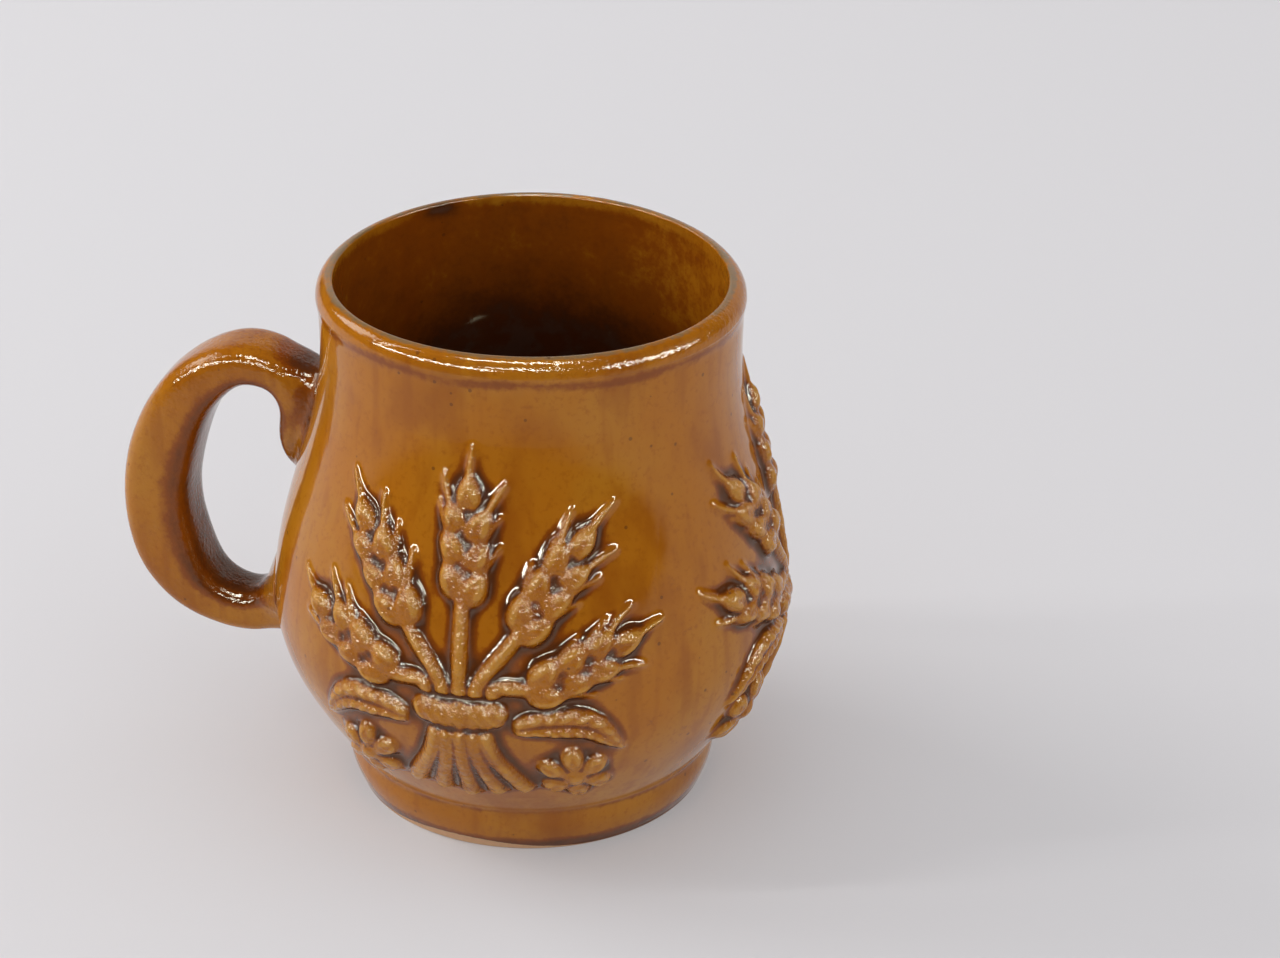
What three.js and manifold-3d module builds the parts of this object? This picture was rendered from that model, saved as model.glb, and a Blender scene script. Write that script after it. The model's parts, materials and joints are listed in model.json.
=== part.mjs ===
// Honey-glazed stoneware beer mug: a turned body, a pulled strap handle and three applied clay reliefs.
// Millimetres, +Z up. The origin is the centre of the foot on the table, and the handle points along -X.
import * as THREE from "three";
import { mergeVertices } from "three/addons/utils/BufferGeometryUtils.js";
import Module from "manifold-3d";

// Body, from the table up
const mugHeight = 147;
const footBaseRadius = 46.8;
const footRadius = 50.1;
const footRoundHeight = 10;
const footHeight = 13;
const creaseRadius = 49.8;
const bellyRadius = 68.3;
const bellyHeight = 55;
const neckRadius = 54.5;
const neckHeight = 129;
const rimRadius = 54.9;
const wallThickness = 4.4;
const lipRound = 1.9;
const floorThickness = 8.5;
const floorFlatRadius = 26;
const floorCornerHeight = 17;
const bodySegments = 48;

// Handle: the middle line of the strap, as distances out from the mug's axis and heights above the table
const handleReach = 104;
const handleTopHeight = 113.4;
const handleBottomHeight = 37.6;
const handleGripHeight = 72;

// The tail pressed down the wall under the top joint, and how far its line stands off the wall
const tailTipHeight = 83.2;
const tailDrop = 11;
const tailTipStandOff = 2.9;
const tailMiddleStandOff = 4.4;
const tailTopStandOff = 4.6;

// The bends of that line: out past the neck or the belly or in from the reach, and up or down
const shoulderOut = 12.5;
const shoulderDrop = 2.4;
const crownOut = 24;
const upperBendIn = 13.4;
const upperBendDrop = 8.6;
const upperGripIn = 4.2;
const upperGripDrop = 21;
const lowerGripIn = 2.4;
const lowerGripDrop = 18;
const lowerBendIn = 10;
const lowerBendRise = 3.8;
const undersideOut = 12;
const undersideRise = 0.4;
const rootOut = 2;
const rootRise = 2.6;
const jointRise = 5;
const jointSink = 6;

// The strap's section, across and through, from the tail by the grip to the lower joint
const tailWidth = 17;
const tailThickness = 8.8;
const strapWidth = 21;
const strapEndThickness = 13;
const strapGripThickness = 19;
const jointWidth = 27;
const jointThickness = 19;
const strapSquareness = 2.5;
const strapSteps = 32;
const strapSides = 14;

// Where along the strap its section changes, from the tail's tip at 0 to the belly at 1
const tipBluntness = 0.06;
const tipEnd = 0.055;
const tailEnd = 0.2;
const gripSwell = [0.18, 0.52];
const gripThin = [0.72, 0.88];
const flareStart = 0.84;

// Reliefs: alike, a sheaf of barley each, the first square to the handle
const reliefNames = ["front", "right", "back"];
const firstReliefAngle = -90;
const reliefPitch = 104;

// The tie, and the stalks that leave it upwards to the ears and downwards to their cut ends
const tieHeight = 54;
const tieWidth = 25;
const tieDepth = 9;
const bandDepth = 7.7;
const tieRise = 3.2;
const knotRise = 4.1;
const tieDip = 0.8;
const stalkWidth = 4;
const stalkRise = 2.3;
const stalkSpacing = 4.5;
const stalkClearance = 0.7;
const uprightLength = 2.6;
const cutEndHeight = 24;
const cutEndSpread = 15;
const cutEndShift = 1.4;
const cutEndSwell = 1.6;
// Cut ends lie this close at the tie, as a share of their width, so that they press into one another
const cutEndPressing = 0.8;

// Ears of grain, fanned out from the tie
const earLean = 33.5;
const outerReach = 46;
const innerReach = 53;
const middleReach = 56;
// Where an ear's line comes on to its ray from the tie, and a second point of it, as shares of the reach
const rayStart = 0.45;
const rayMiddle = 0.7;
const grainLength = 12;
const grainWidth = 7.2;
const grainRise = 4.9;
const grainPairs = 3;
const grainPitch = 7.5;
const grainTilt = 24;
const grainOffset = 3;
const grainStagger = 1.5;
// The first pair below the tip's grain, and the bare stalk below the last pair, both in pitches
const firstPairPitches = 0.85;
const lastPairPitches = 0.4;

// Leaf blades, each a line of points away from the tie's end and down from its middle
const bladeWidth = 8.6;
const bladeRise = 2.6;
const bladeLine = [
  { away: 1.6, down: 3.5 },
  { away: 10, down: 2.2 },
  { away: 21, down: 4 },
  { away: 30, down: 14 },
];
// A blade's width along it is a stretch of a sine wave, from this share of it on, and never under the least
const bladeWaveStart = 0.14;
const bladeFullness = 0.8;
const bladeLeastShare = 0.12;

// Rosettes
const rosetteAcross = 28;
const rosetteHeight = 33;
const petalCount = 6;
const petalLength = 9.2;
const petalWidth = 7;
const petalRise = 2.6;
const petalReach = 5.7;
const eyeRadius = 3.6;
const eyeRise = 3.4;

// What lies on the wall stands this far off it, and so does what meets another piece
const seatGap = 0.3;
// How far a sprig reaches into the wall before its underside is cut to the wall's curve
const sprigSink = 1.2;

// The five ears: their places at the tie, counted from the middle, and how far their tips reach from it
const ears = [
  { name: "ear_outer_left", place: -2, reach: outerReach },
  { name: "ear_inner_left", place: -1, reach: innerReach },
  { name: "ear_middle", place: 0, reach: middleReach },
  { name: "ear_inner_right", place: 1, reach: innerReach },
  { name: "ear_outer_right", place: 2, reach: outerReach },
];

const wasm = await Module();
wasm.setup();

// Closed geometry to a solid and back

function solidOf(geometry) {
  const bare = geometry.clone();
  bare.deleteAttribute("normal");
  bare.deleteAttribute("uv");
  const merged = mergeVertices(bare, 1e-4);
  return new wasm.Manifold(
    new wasm.Mesh({
      numProp: 3,
      vertProperties: new Float32Array(merged.attributes.position.array),
      triVerts: new Uint32Array(merged.index.array),
    }),
  );
}

function geometryOf(solid) {
  const mesh = solid.getMesh();
  const geometry = new THREE.BufferGeometry();
  geometry.setAttribute("position", new THREE.BufferAttribute(mesh.vertProperties, 3));
  geometry.setIndex(new THREE.BufferAttribute(mesh.triVerts, 1));
  geometry.computeVertexNormals();
  return geometry;
}

function joined(geometries) {
  return geometries.map(solidOf).reduce((whole, next) => whole.add(next));
}

// The body's wall

// Outside radius at a height: a quarter sine wave up the belly, half a cosine wave in to the neck,
// then a slight flare to the lip
function outerRadius(height) {
  if (height < bellyHeight) {
    const rise = (height - footHeight) / (bellyHeight - footHeight);
    return creaseRadius + (bellyRadius - creaseRadius) * Math.sin((Math.PI / 2) * Math.max(rise, 0));
  }
  if (height < neckHeight) {
    const rise = (height - bellyHeight) / (neckHeight - bellyHeight);
    return neckRadius + ((bellyRadius - neckRadius) * (1 + Math.cos(Math.PI * rise))) / 2;
  }
  const flare = (height - neckHeight) / (mugHeight - neckHeight);
  return neckRadius + (rimRadius - neckRadius) * flare ** 2;
}

// The wall's outward direction at a height, as radius and height parts
function wallNormal(height) {
  const step = 0.5;
  const slope = (outerRadius(height + step) - outerRadius(height - step)) / (2 * step);
  return new THREE.Vector2(1, -slope).normalize();
}

// Evenly spaced heights from one up to another, without the last
function heightsBetween(from, to, count) {
  return Array.from({ length: count }, (_, i) => from + ((to - from) * i) / count);
}

// Heights of the rows of faces, closer together where the wall bends more
function wallHeights() {
  const belowBelly = 5;
  const aboveBelly = 8;
  const lipStart = mugHeight - lipRound;
  return [
    ...heightsBetween(footHeight, bellyHeight, belowBelly),
    ...heightsBetween(bellyHeight, lipStart, aboveBelly),
    lipStart,
  ];
}

function wallPoints(standOff) {
  return wallHeights().map((height) => {
    const out = wallNormal(height);
    return new THREE.Vector2(outerRadius(height) + out.x * standOff, height + out.y * standOff);
  });
}

function footPoints() {
  const steps = 3;
  return Array.from({ length: steps + 1 }, (_, i) => {
    const turn = (Math.PI / 2) * (i / steps);
    return new THREE.Vector2(
      footBaseRadius + (footRadius - footBaseRadius) * Math.sin(turn),
      (footRoundHeight * i) / steps,
    );
  });
}

function lipPoints() {
  const steps = 5;
  const lipStart = mugHeight - lipRound;
  const middle = outerRadius(lipStart) - wallThickness / 2;
  return Array.from({ length: steps - 1 }, (_, i) => {
    const turn = (Math.PI * (i + 1)) / steps;
    return new THREE.Vector2(
      middle + (wallThickness / 2) * Math.cos(turn),
      lipStart + lipRound * Math.sin(turn),
    );
  });
}

// Down the inside: the wall, then a quarter ellipse round into the flat floor
function insidePoints() {
  const cornerTop = floorThickness + floorCornerHeight;
  const wallSteps = 7;
  const wall = heightsBetween(mugHeight - lipRound, cornerTop, wallSteps).map(
    (height) => new THREE.Vector2(outerRadius(height) - wallThickness, height),
  );
  const cornerSteps = 4;
  const cornerReach = outerRadius(cornerTop) - wallThickness - floorFlatRadius;
  const corner = Array.from({ length: cornerSteps + 1 }, (_, i) => {
    const turn = (Math.PI / 2) * (i / cornerSteps);
    return new THREE.Vector2(
      floorFlatRadius + cornerReach * Math.cos(turn),
      cornerTop - floorCornerHeight * Math.sin(turn),
    );
  });
  return [...wall, ...corner];
}

// An outline of radius and height, from the axis round to the axis again, turned about +Z
function turned(outline) {
  return new THREE.LatheGeometry(outline, bodySegments).rotateX(Math.PI / 2);
}

function bodyGeometry() {
  const outline = [
    new THREE.Vector2(0, 0),
    ...footPoints(),
    ...wallPoints(0),
    ...lipPoints(),
    ...insidePoints(),
    new THREE.Vector2(0, floorThickness),
  ];
  return turned(outline);
}

// The outside of the body, standing off by the seat gap: what is luted on is cut to it
function seatSolid() {
  const points = wallPoints(seatGap);
  const outline = [
    new THREE.Vector2(0, footHeight),
    ...points,
    new THREE.Vector2(0, points[points.length - 1].y),
  ];
  return solidOf(turned(outline));
}

const seat = seatSolid();

function onWall(angle, height, lift) {
  const out = wallNormal(height);
  const radius = outerRadius(height) + out.x * lift;
  return new THREE.Vector3(radius * Math.cos(angle), radius * Math.sin(angle), height + out.y * lift);
}

// A closed skin through rings of points, with a fan at each end
function loft(rings) {
  const sides = rings[0].length;
  const positions = rings.flat().flatMap((point) => point.toArray());
  const index = [];
  for (let ring = 0; ring < rings.length - 1; ring++) {
    for (let side = 0; side < sides; side++) {
      const next = (side + 1) % sides;
      const a = ring * sides + side;
      const b = ring * sides + next;
      index.push(a, b, b + sides, a, b + sides, a + sides);
    }
  }
  const ends = [rings[0], rings[rings.length - 1]];
  ends.forEach((ring, end) => {
    const middle = new THREE.Vector3();
    ring.forEach((point) => middle.addScaledVector(point, 1 / sides));
    const hub = positions.length / 3;
    positions.push(...middle.toArray());
    const first = end === 0 ? 0 : (rings.length - 1) * sides;
    for (let side = 0; side < sides; side++) {
      const here = first + side;
      const next = first + ((side + 1) % sides);
      index.push(...(end === 0 ? [hub, next, here] : [hub, here, next]));
    }
  });
  const geometry = new THREE.BufferGeometry();
  geometry.setAttribute("position", new THREE.Float32BufferAttribute(positions, 3));
  geometry.setIndex(index);
  return geometry;
}

// Handle

// A rounded-square ring, across the strap along Y and through it along the given direction
function strapRing(middle, through, thickness, width) {
  return Array.from({ length: strapSides }, (_, i) => {
    const turn = (2 * Math.PI * i) / strapSides;
    const rounded = (value) => Math.sign(value) * Math.abs(value) ** (2 / strapSquareness);
    const offset = through.clone().multiplyScalar((rounded(Math.cos(turn)) * thickness) / 2);
    return middle.clone().add(offset).add(new THREE.Vector3(0, (rounded(Math.sin(turn)) * width) / 2, 0));
  });
}

// The strap's middle line: up from the tail's tip, over the top, round the grip and in to the belly
function handlePath() {
  const point = (reach, height) => new THREE.Vector3(-reach, 0, height);
  const offWall = (height, standOff) => point(outerRadius(height) + standOff, height);
  const tailTopHeight = handleTopHeight - tailDrop;
  const jointHeight = handleBottomHeight + jointRise;
  return new THREE.CatmullRomCurve3([
    offWall(tailTipHeight, tailTipStandOff),
    offWall((tailTipHeight + tailTopHeight) / 2, tailMiddleStandOff),
    offWall(tailTopHeight, tailTopStandOff),
    point(neckRadius + shoulderOut, handleTopHeight - shoulderDrop),
    point(neckRadius + crownOut, handleTopHeight),
    point(handleReach - upperBendIn, handleTopHeight - upperBendDrop),
    point(handleReach - upperGripIn, handleTopHeight - upperGripDrop),
    point(handleReach, handleGripHeight),
    point(handleReach - lowerGripIn, handleGripHeight - lowerGripDrop),
    point(handleReach - lowerBendIn, handleBottomHeight + lowerBendRise),
    point(bellyRadius + undersideOut, handleBottomHeight + undersideRise),
    point(bellyRadius + rootOut, handleBottomHeight + rootRise),
    offWall(jointHeight, -jointSink),
  ]);
}

function strapSize(along) {
  const ramp = (from, to) => THREE.MathUtils.smoothstep(along, from, to);
  const past = ramp(0, tailEnd);
  const grip = ramp(...gripSwell) * (1 - ramp(...gripThin));
  const flare = ramp(flareStart, 1);
  const roundTip = Math.sqrt(Math.min(1, along / tipEnd + tipBluntness));
  const strap = strapEndThickness + (strapGripThickness - strapEndThickness) * grip;
  const thickness = THREE.MathUtils.lerp(tailThickness, strap, past);
  const width = THREE.MathUtils.lerp(tailWidth, strapWidth, past);
  return {
    thickness: (thickness + (jointThickness - strapEndThickness) * flare) * roundTip,
    width: (width + (jointWidth - strapWidth) * flare) * roundTip,
  };
}

function handleGeometry() {
  const path = handlePath();
  const rings = [];
  for (let step = 0; step <= strapSteps; step++) {
    const along = step / strapSteps;
    const tangent = path.getTangentAt(along);
    const through = new THREE.Vector3(tangent.z, 0, -tangent.x);
    const { thickness, width } = strapSize(along);
    rings.push(strapRing(path.getPointAt(along), through, thickness, width));
  }
  return geometryOf(solidOf(loft(rings)).subtract(seat));
}

// Sprigs, drawn flat as distance across the relief, height above the table and rise off the wall

function smoothLine(points) {
  return new THREE.CatmullRomCurve3(points.map(([across, height]) => new THREE.Vector3(across, height, 0)));
}

// A strip with a rounded back along a line; its width and rise vary along it
function strip(line, steps, sides, widthAt, riseAt) {
  const rings = [];
  for (let step = 0; step <= steps; step++) {
    const along = step / steps;
    const middle = line.getPointAt(along);
    const tangent = line.getTangentAt(along);
    const sideways = new THREE.Vector3(-tangent.y, tangent.x, 0);
    const ring = [];
    for (let side = 0; side < sides; side++) {
      const turn = (2 * Math.PI * (side + 0.5)) / sides;
      const lift = Math.sin(turn);
      const point = middle.clone().addScaledVector(sideways, (Math.cos(turn) * widthAt(along)) / 2);
      point.z = lift > 0 ? lift * riseAt(along) : lift * sprigSink;
      ring.push(point);
    }
    rings.push(ring);
  }
  return loft(rings);
}

// An egg-shaped bead of clay, its long axis turned from straight up
function bead(across, height, width, length, rise, turnDegrees) {
  const beadSides = 6;
  const beadRows = 3;
  const egg = new THREE.SphereGeometry(1, beadSides, beadRows);
  egg.scale(width / 2, length / 2, rise);
  egg.rotateZ(-THREE.MathUtils.degToRad(turnDegrees));
  egg.translate(across, height, 0);
  return egg;
}

// Bends a flat sprig round the wall at a relief's angle
function laidOnWall(geometry, reliefAngle) {
  const laid = geometry.clone();
  const position = laid.attributes.position;
  for (let i = 0; i < position.count; i++) {
    const height = position.getY(i);
    const angle = reliefAngle + position.getX(i) / outerRadius(height);
    const point = onWall(angle, height, position.getZ(i));
    position.setXYZ(i, point.x, point.y, point.z);
  }
  return laid;
}

// An ear on its stalk: one grain at the tip, then pairs of grains down to where the bare stalk begins
function earPieces({ place, reach }) {
  const lean = THREE.MathUtils.degToRad(place * earLean);
  const onRay = (share) => [Math.sin(lean) * reach * share, tieHeight + Math.cos(lean) * reach * share];
  const stalkFoot = tieHeight + tieDepth / 2 + stalkClearance;
  const foot = [place * stalkSpacing, stalkFoot];
  const upright = [place * stalkSpacing, stalkFoot + uprightLength];
  const line = smoothLine([foot, upright, onRay(rayStart), onRay(rayMiddle), onRay(1)]);
  const length = line.getLength();
  const bareShare = 1 - (grainPitch * (grainPairs + lastPairPitches)) / length;
  const stalkLine = smoothLine([foot, upright, line.getPointAt(bareShare).toArray()]);
  const pieces = [strip(stalkLine, 4, 5, () => stalkWidth, () => stalkRise)];

  // side is -1 or 1 for a pair's left and right grain, and 0 for the one at the tip
  const placeGrain = (fromTip, side) => {
    const point = line.getPointAt(1 - fromTip / length);
    const tangent = line.getTangentAt(1 - fromTip / length);
    const heading = THREE.MathUtils.radToDeg(Math.atan2(tangent.x, tangent.y));
    const across = point.x + tangent.y * side * grainOffset;
    const height = point.y - tangent.x * side * grainOffset;
    pieces.push(bead(across, height, grainWidth, grainLength, grainRise, heading + side * grainTilt));
  };
  placeGrain(0, 0);
  for (let pair = 0; pair < grainPairs; pair++) {
    const fromTip = grainPitch * (pair + firstPairPitches);
    placeGrain(fromTip, -1);
    placeGrain(fromTip + grainStagger, 1);
  }
  return pieces;
}

// The cut ends of the stalks, fanned out below the tie, the middle one the longest
function cutEndPieces() {
  const top = tieHeight - tieDepth / 2 - stalkClearance;
  return [-2, -1, 0, 1, 2].map((place) => {
    const end = cutEndHeight + Math.abs(place) * cutEndShift;
    const line = smoothLine([
      [place * stalkWidth * cutEndPressing, top],
      [place * stalkWidth, (top * 2 + end) / 3],
      [(place * cutEndSpread) / 2, end],
    ]);
    return strip(line, 3, 6, (along) => stalkWidth + cutEndSwell * along, () => stalkRise);
  });
}

function tiePieces() {
  const band = smoothLine([
    [-tieWidth / 2, tieHeight + tieDip],
    [0, tieHeight - tieDip],
    [tieWidth / 2, tieHeight + tieDip],
  ]);
  const knot = bead(0, tieHeight - tieDip / 2, tieDepth, tieDepth - tieDip, knotRise, 0);
  return [strip(band, 6, 8, () => bandDepth, () => tieRise), knot];
}

// side is -1 for the left blade and 1 for the right one
function bladePieces(side) {
  const points = bladeLine.map(({ away, down }) => [side * (tieWidth / 2 + away), tieHeight - down]);
  const line = smoothLine(points);
  const taper = (along) => {
    const wave = Math.sin(Math.PI * THREE.MathUtils.lerp(bladeWaveStart, 1, along));
    return Math.max(bladeLeastShare, wave ** bladeFullness);
  };
  const widthAt = (along) => bladeWidth * taper(along);
  const riseAt = (along) => (bladeRise * (1 + taper(along))) / 2;
  return [strip(line, 10, 6, widthAt, riseAt)];
}

function rosettePieces(side) {
  const centre = side * rosetteAcross;
  const petals = Array.from({ length: petalCount }, (_, i) => {
    const turn = (360 * i) / petalCount;
    const heading = THREE.MathUtils.degToRad(turn);
    const across = centre + Math.sin(heading) * petalReach;
    const height = rosetteHeight + Math.cos(heading) * petalReach;
    return bead(across, height, petalWidth, petalLength, petalRise, turn);
  });
  return [...petals, bead(centre, rosetteHeight, eyeRadius * 2, eyeRadius * 2, eyeRise, 0)];
}

// The outer skin of joined clay: a hollow trapped between two grains is filled, as pressed clay is
function outerSkin(solid) {
  const skins = solid.decompose().filter((skin) => skin.volume() > 0);
  if (skins.length !== 1) throw new Error(`a sprig has come apart into ${skins.length} pieces`);
  return skins[0];
}

function sprigGeometry(pieces, reliefAngle) {
  const laid = pieces.map((piece) => laidOnWall(piece, reliefAngle));
  return geometryOf(outerSkin(joined(laid).subtract(seat)));
}

// Glazes
function glaze(colour, roughness) {
  return new THREE.MeshStandardMaterial({ color: colour, roughness, metalness: 0 });
}

const bodyGlaze = glaze(0xb07636, 0.16);
const handleGlaze = glaze(0xa8692c, 0.16);
const sprigGlaze = glaze(0xb8782f, 0.18);

function piece(name, geometry, material) {
  const mesh = new THREE.Mesh(geometry, material);
  mesh.name = name;
  return mesh;
}

// Assembly
const mug = new THREE.Group();
mug.add(piece("body", bodyGeometry(), bodyGlaze));
mug.add(piece("handle", handleGeometry(), handleGlaze));

reliefNames.forEach((where, relief) => {
  const angle = THREE.MathUtils.degToRad(firstReliefAngle + relief * reliefPitch);
  const addSprig = (name, pieces) => {
    mug.add(piece(`${where}_${name}`, sprigGeometry(pieces, angle), sprigGlaze));
  };
  ears.forEach((ear) => addSprig(ear.name, earPieces(ear)));
  addSprig("stalk_ends", cutEndPieces());
  addSprig("tie", tiePieces());
  addSprig("blade_left", bladePieces(-1));
  addSprig("blade_right", bladePieces(1));
  addSprig("rosette_left", rosettePieces(-1));
  addSprig("rosette_right", rosettePieces(1));
});

export default mug;
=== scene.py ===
# %% Load the measured model
import json
import math

import bmesh
import bpy
import numpy as np
from mathutils import Matrix, Vector
from mathutils.bvhtree import BVHTree

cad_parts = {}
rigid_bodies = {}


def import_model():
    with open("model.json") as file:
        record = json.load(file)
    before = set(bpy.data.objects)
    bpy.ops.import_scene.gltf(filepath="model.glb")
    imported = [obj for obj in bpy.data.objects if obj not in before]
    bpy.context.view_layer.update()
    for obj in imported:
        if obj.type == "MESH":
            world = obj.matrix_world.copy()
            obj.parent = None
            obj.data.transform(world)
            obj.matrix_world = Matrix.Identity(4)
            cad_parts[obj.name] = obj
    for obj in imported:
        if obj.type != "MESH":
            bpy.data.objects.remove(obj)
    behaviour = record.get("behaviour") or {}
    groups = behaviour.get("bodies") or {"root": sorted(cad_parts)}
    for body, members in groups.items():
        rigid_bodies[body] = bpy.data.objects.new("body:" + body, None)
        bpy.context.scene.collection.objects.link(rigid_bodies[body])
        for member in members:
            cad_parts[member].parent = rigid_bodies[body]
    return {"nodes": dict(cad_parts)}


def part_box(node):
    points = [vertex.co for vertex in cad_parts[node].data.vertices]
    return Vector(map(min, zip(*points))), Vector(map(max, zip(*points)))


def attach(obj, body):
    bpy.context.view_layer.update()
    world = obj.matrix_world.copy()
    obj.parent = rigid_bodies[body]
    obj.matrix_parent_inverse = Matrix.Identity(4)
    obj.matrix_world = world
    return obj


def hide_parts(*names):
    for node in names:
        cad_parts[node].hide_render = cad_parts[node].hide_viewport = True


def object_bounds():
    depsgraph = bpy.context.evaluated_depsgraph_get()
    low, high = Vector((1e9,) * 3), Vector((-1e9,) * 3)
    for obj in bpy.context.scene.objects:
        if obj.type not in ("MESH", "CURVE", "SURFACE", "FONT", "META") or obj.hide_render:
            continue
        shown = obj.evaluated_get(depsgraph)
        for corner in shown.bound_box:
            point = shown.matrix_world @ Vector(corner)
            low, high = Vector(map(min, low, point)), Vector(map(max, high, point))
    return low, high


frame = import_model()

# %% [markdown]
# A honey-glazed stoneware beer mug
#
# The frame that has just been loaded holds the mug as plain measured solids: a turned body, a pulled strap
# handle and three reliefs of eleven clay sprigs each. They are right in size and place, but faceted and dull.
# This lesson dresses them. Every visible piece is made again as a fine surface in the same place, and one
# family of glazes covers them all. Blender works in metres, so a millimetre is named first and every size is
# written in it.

MM = 0.001
cad_low, cad_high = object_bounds()
print("box of the measured model, mm:", [round(v / MM, 1) for v in (*cad_low, *cad_high)])

# %% [markdown]
# The camera
#
# The mug is seen from its front and a little from its right, from well above its rim. A long lens keeps the
# foot and the rim nearly the same width, so the distance matters as much as the direction. The three angles
# are turned one after the other: the roll about the line of sight first, then the tilt down to the table,
# then the turn round the mug.

# %% Camera
CAMERA_PLACE = Vector((256.39, -906.65, 583.00)) * MM
CAMERA_TURN = math.radians(14.0)
CAMERA_TILT = math.radians(62.2)
CAMERA_ROLL = math.radians(0.154)

lens = bpy.data.cameras.new("camera")
lens.sensor_width = 36.0
lens.lens = 112.5
lens.clip_start = 0.01
lens.clip_end = 50.0
camera = bpy.data.objects.new("camera", lens)
bpy.context.collection.objects.link(camera)
turned = Matrix.Rotation(CAMERA_TURN, 4, "Z") @ Matrix.Rotation(CAMERA_TILT, 4, "X")
camera.matrix_world = Matrix.Translation(CAMERA_PLACE) @ turned @ Matrix.Rotation(CAMERA_ROLL, 4, "Z")
bpy.context.scene.camera = camera
print("camera to the foot, mm:", round(CAMERA_PLACE.length / MM))

# %% [markdown]
# Writing nodes down
#
# Materials and Geometry Nodes trees are both wired from nodes, and much of that wiring is plain arithmetic. A
# call for every plus and times is hard to read, so what comes out of a node is wrapped in a small class,
# Wire. A sum of two wires makes the node that adds them and gives the wire that leaves it, so a formula looks
# like a formula. The nodes are the same as those that are set by hand in the node editor.

# %% A material that starts empty, and a way to wire nodes
def new_material(name):
    """A material that starts empty, with its node tree and its output."""
    material = bpy.data.materials.new(name)
    material.use_nodes = True
    material.node_tree.nodes.clear()
    output = material.node_tree.nodes.new("ShaderNodeOutputMaterial")
    return material, material.node_tree, output


def add(tree, kind, links=None, **settings):
    """A node with its settings; links gives a value or a wire for each of its inputs."""
    node = tree.nodes.new(kind)
    for key, value in settings.items():
        setattr(node, key, value)
    for key, value in (links or {}).items():
        if isinstance(value, Wire):
            tree.links.new(value.socket, node.inputs[key])
        else:
            node.inputs[key].default_value = value
    return node


class Wire:
    """What comes out of a node; sums on it make the nodes that do them."""

    def __init__(self, tree, socket):
        self.tree = tree
        self.socket = socket

    def __add__(self, other):
        return maths("ADD", self, other)

    def __sub__(self, other):
        return maths("SUBTRACT", self, other)

    def __rsub__(self, other):
        return maths("SUBTRACT", other, self)

    def __mul__(self, other):
        return maths("MULTIPLY", self, other)

    def __truediv__(self, other):
        return maths("DIVIDE", self, other)

    def __neg__(self):
        return maths("MULTIPLY", self, -1.0)


# %% Wires out of new nodes
def wires(tree, kind, links, outputs, **settings):
    """The wires out of some of the outputs of a new node."""
    node = add(tree, kind, links, **settings)
    return [Wire(tree, node.outputs[key]) for key in outputs]


def wire(tree, kind, links=None, output=0, **settings):
    """The wire out of one output of a new node."""
    return wires(tree, kind, links, (output,), **settings)[0]


def maths(operation, first, second=0.0, clamp=False):
    """One step of arithmetic on wires and numbers."""
    tree = first.tree if isinstance(first, Wire) else second.tree
    return wire(tree, "ShaderNodeMath", {0: first, 1: second}, operation=operation, use_clamp=clamp)


def x_y_z(place):
    """The three parts of a wire that carries a place."""
    return wires(place.tree, "ShaderNodeSeparateXYZ", {0: place}, (0, 1, 2))


def ramp(value, low, high, bottom=0.0, top=1.0):
    """The bottom below low and the top above high, with a smooth turn between them."""
    links = {"Value": value, "From Min": low, "From Max": high, "To Min": bottom, "To Max": top}
    return wire(value.tree, "ShaderNodeMapRange", links, interpolation_type="SMOOTHSTEP")


def mix_colour(share, first, second):
    """The first colour where share is 0 and the second where it is 1."""
    return wire(share.tree, "ShaderNodeMix", {0: share, 6: first, 7: second}, 2, data_type="RGBA")


# %% [markdown]
# The room
#
# A glazed pot is a curved mirror with colour under it, so the room decides half of its look. The mug stands
# on a pale sheet that rises into a wall far behind. The body mirrors that sheet, which veils the brown with a
# pale sheen. Wherever the glaze tips up past the horizon it mirrors the dim room instead, and there the
# orange shows pure. The lip, the crown of the handle and the tops of the relief tip up far enough to mirror
# four long narrow lamps. Three stand low, to the left, in front and to the right, and one hangs higher, over
# the near side of the mug, and each draws its own thin bright line. They are only mirrored. An even, pale
# world lights the clay, with a little more light from the left. In a room that is white all round, shadows
# are faint, so the sheet shows a part of its plain colour wherever it is seen. Towards the viewer the glaze
# mirrors the viewer's own dark side of the room, so there the sheet turns dark, but only as the glaze sees
# it.

# %% Floor and far wall
FLOOR_COLOUR = (0.705, 0.692, 0.705, 1.0)
FLOOR_SHADE = (0.060, 0.055, 0.055, 1.0)
FAINT_SHADOW = 0.20
FAINT_IN_GLAZE = 0.30
FLOOR_HALF = 3.0
FLOOR_NEAR = -1.2
FADE_START = -0.20
FADE_END = -0.60
WALL_RISE = 2.6
BEND_RADIUS = 0.5

def pale_sheet():
    """One sheet of paper: the floor, a bend at the back, and a low wall behind."""
    bend = [math.pi / 2 * i / 12 for i in range(13)]
    line = [(FLOOR_NEAR, 0.0)]
    line += [(FLOOR_HALF + BEND_RADIUS * math.sin(t), BEND_RADIUS * (1 - math.cos(t))) for t in bend]
    line += [(FLOOR_HALF + BEND_RADIUS, WALL_RISE)]
    points = [(x, y, z) for y, z in line for x in (-FLOOR_HALF, FLOOR_HALF)]
    faces = [(2 * i, 2 * i + 1, 2 * i + 3, 2 * i + 2) for i in range(len(line) - 1)]
    mesh = bpy.data.meshes.new("paper")
    mesh.from_pydata(points, [], faces)
    mesh.shade_smooth()
    return bpy.data.objects.new("paper", mesh)


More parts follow.
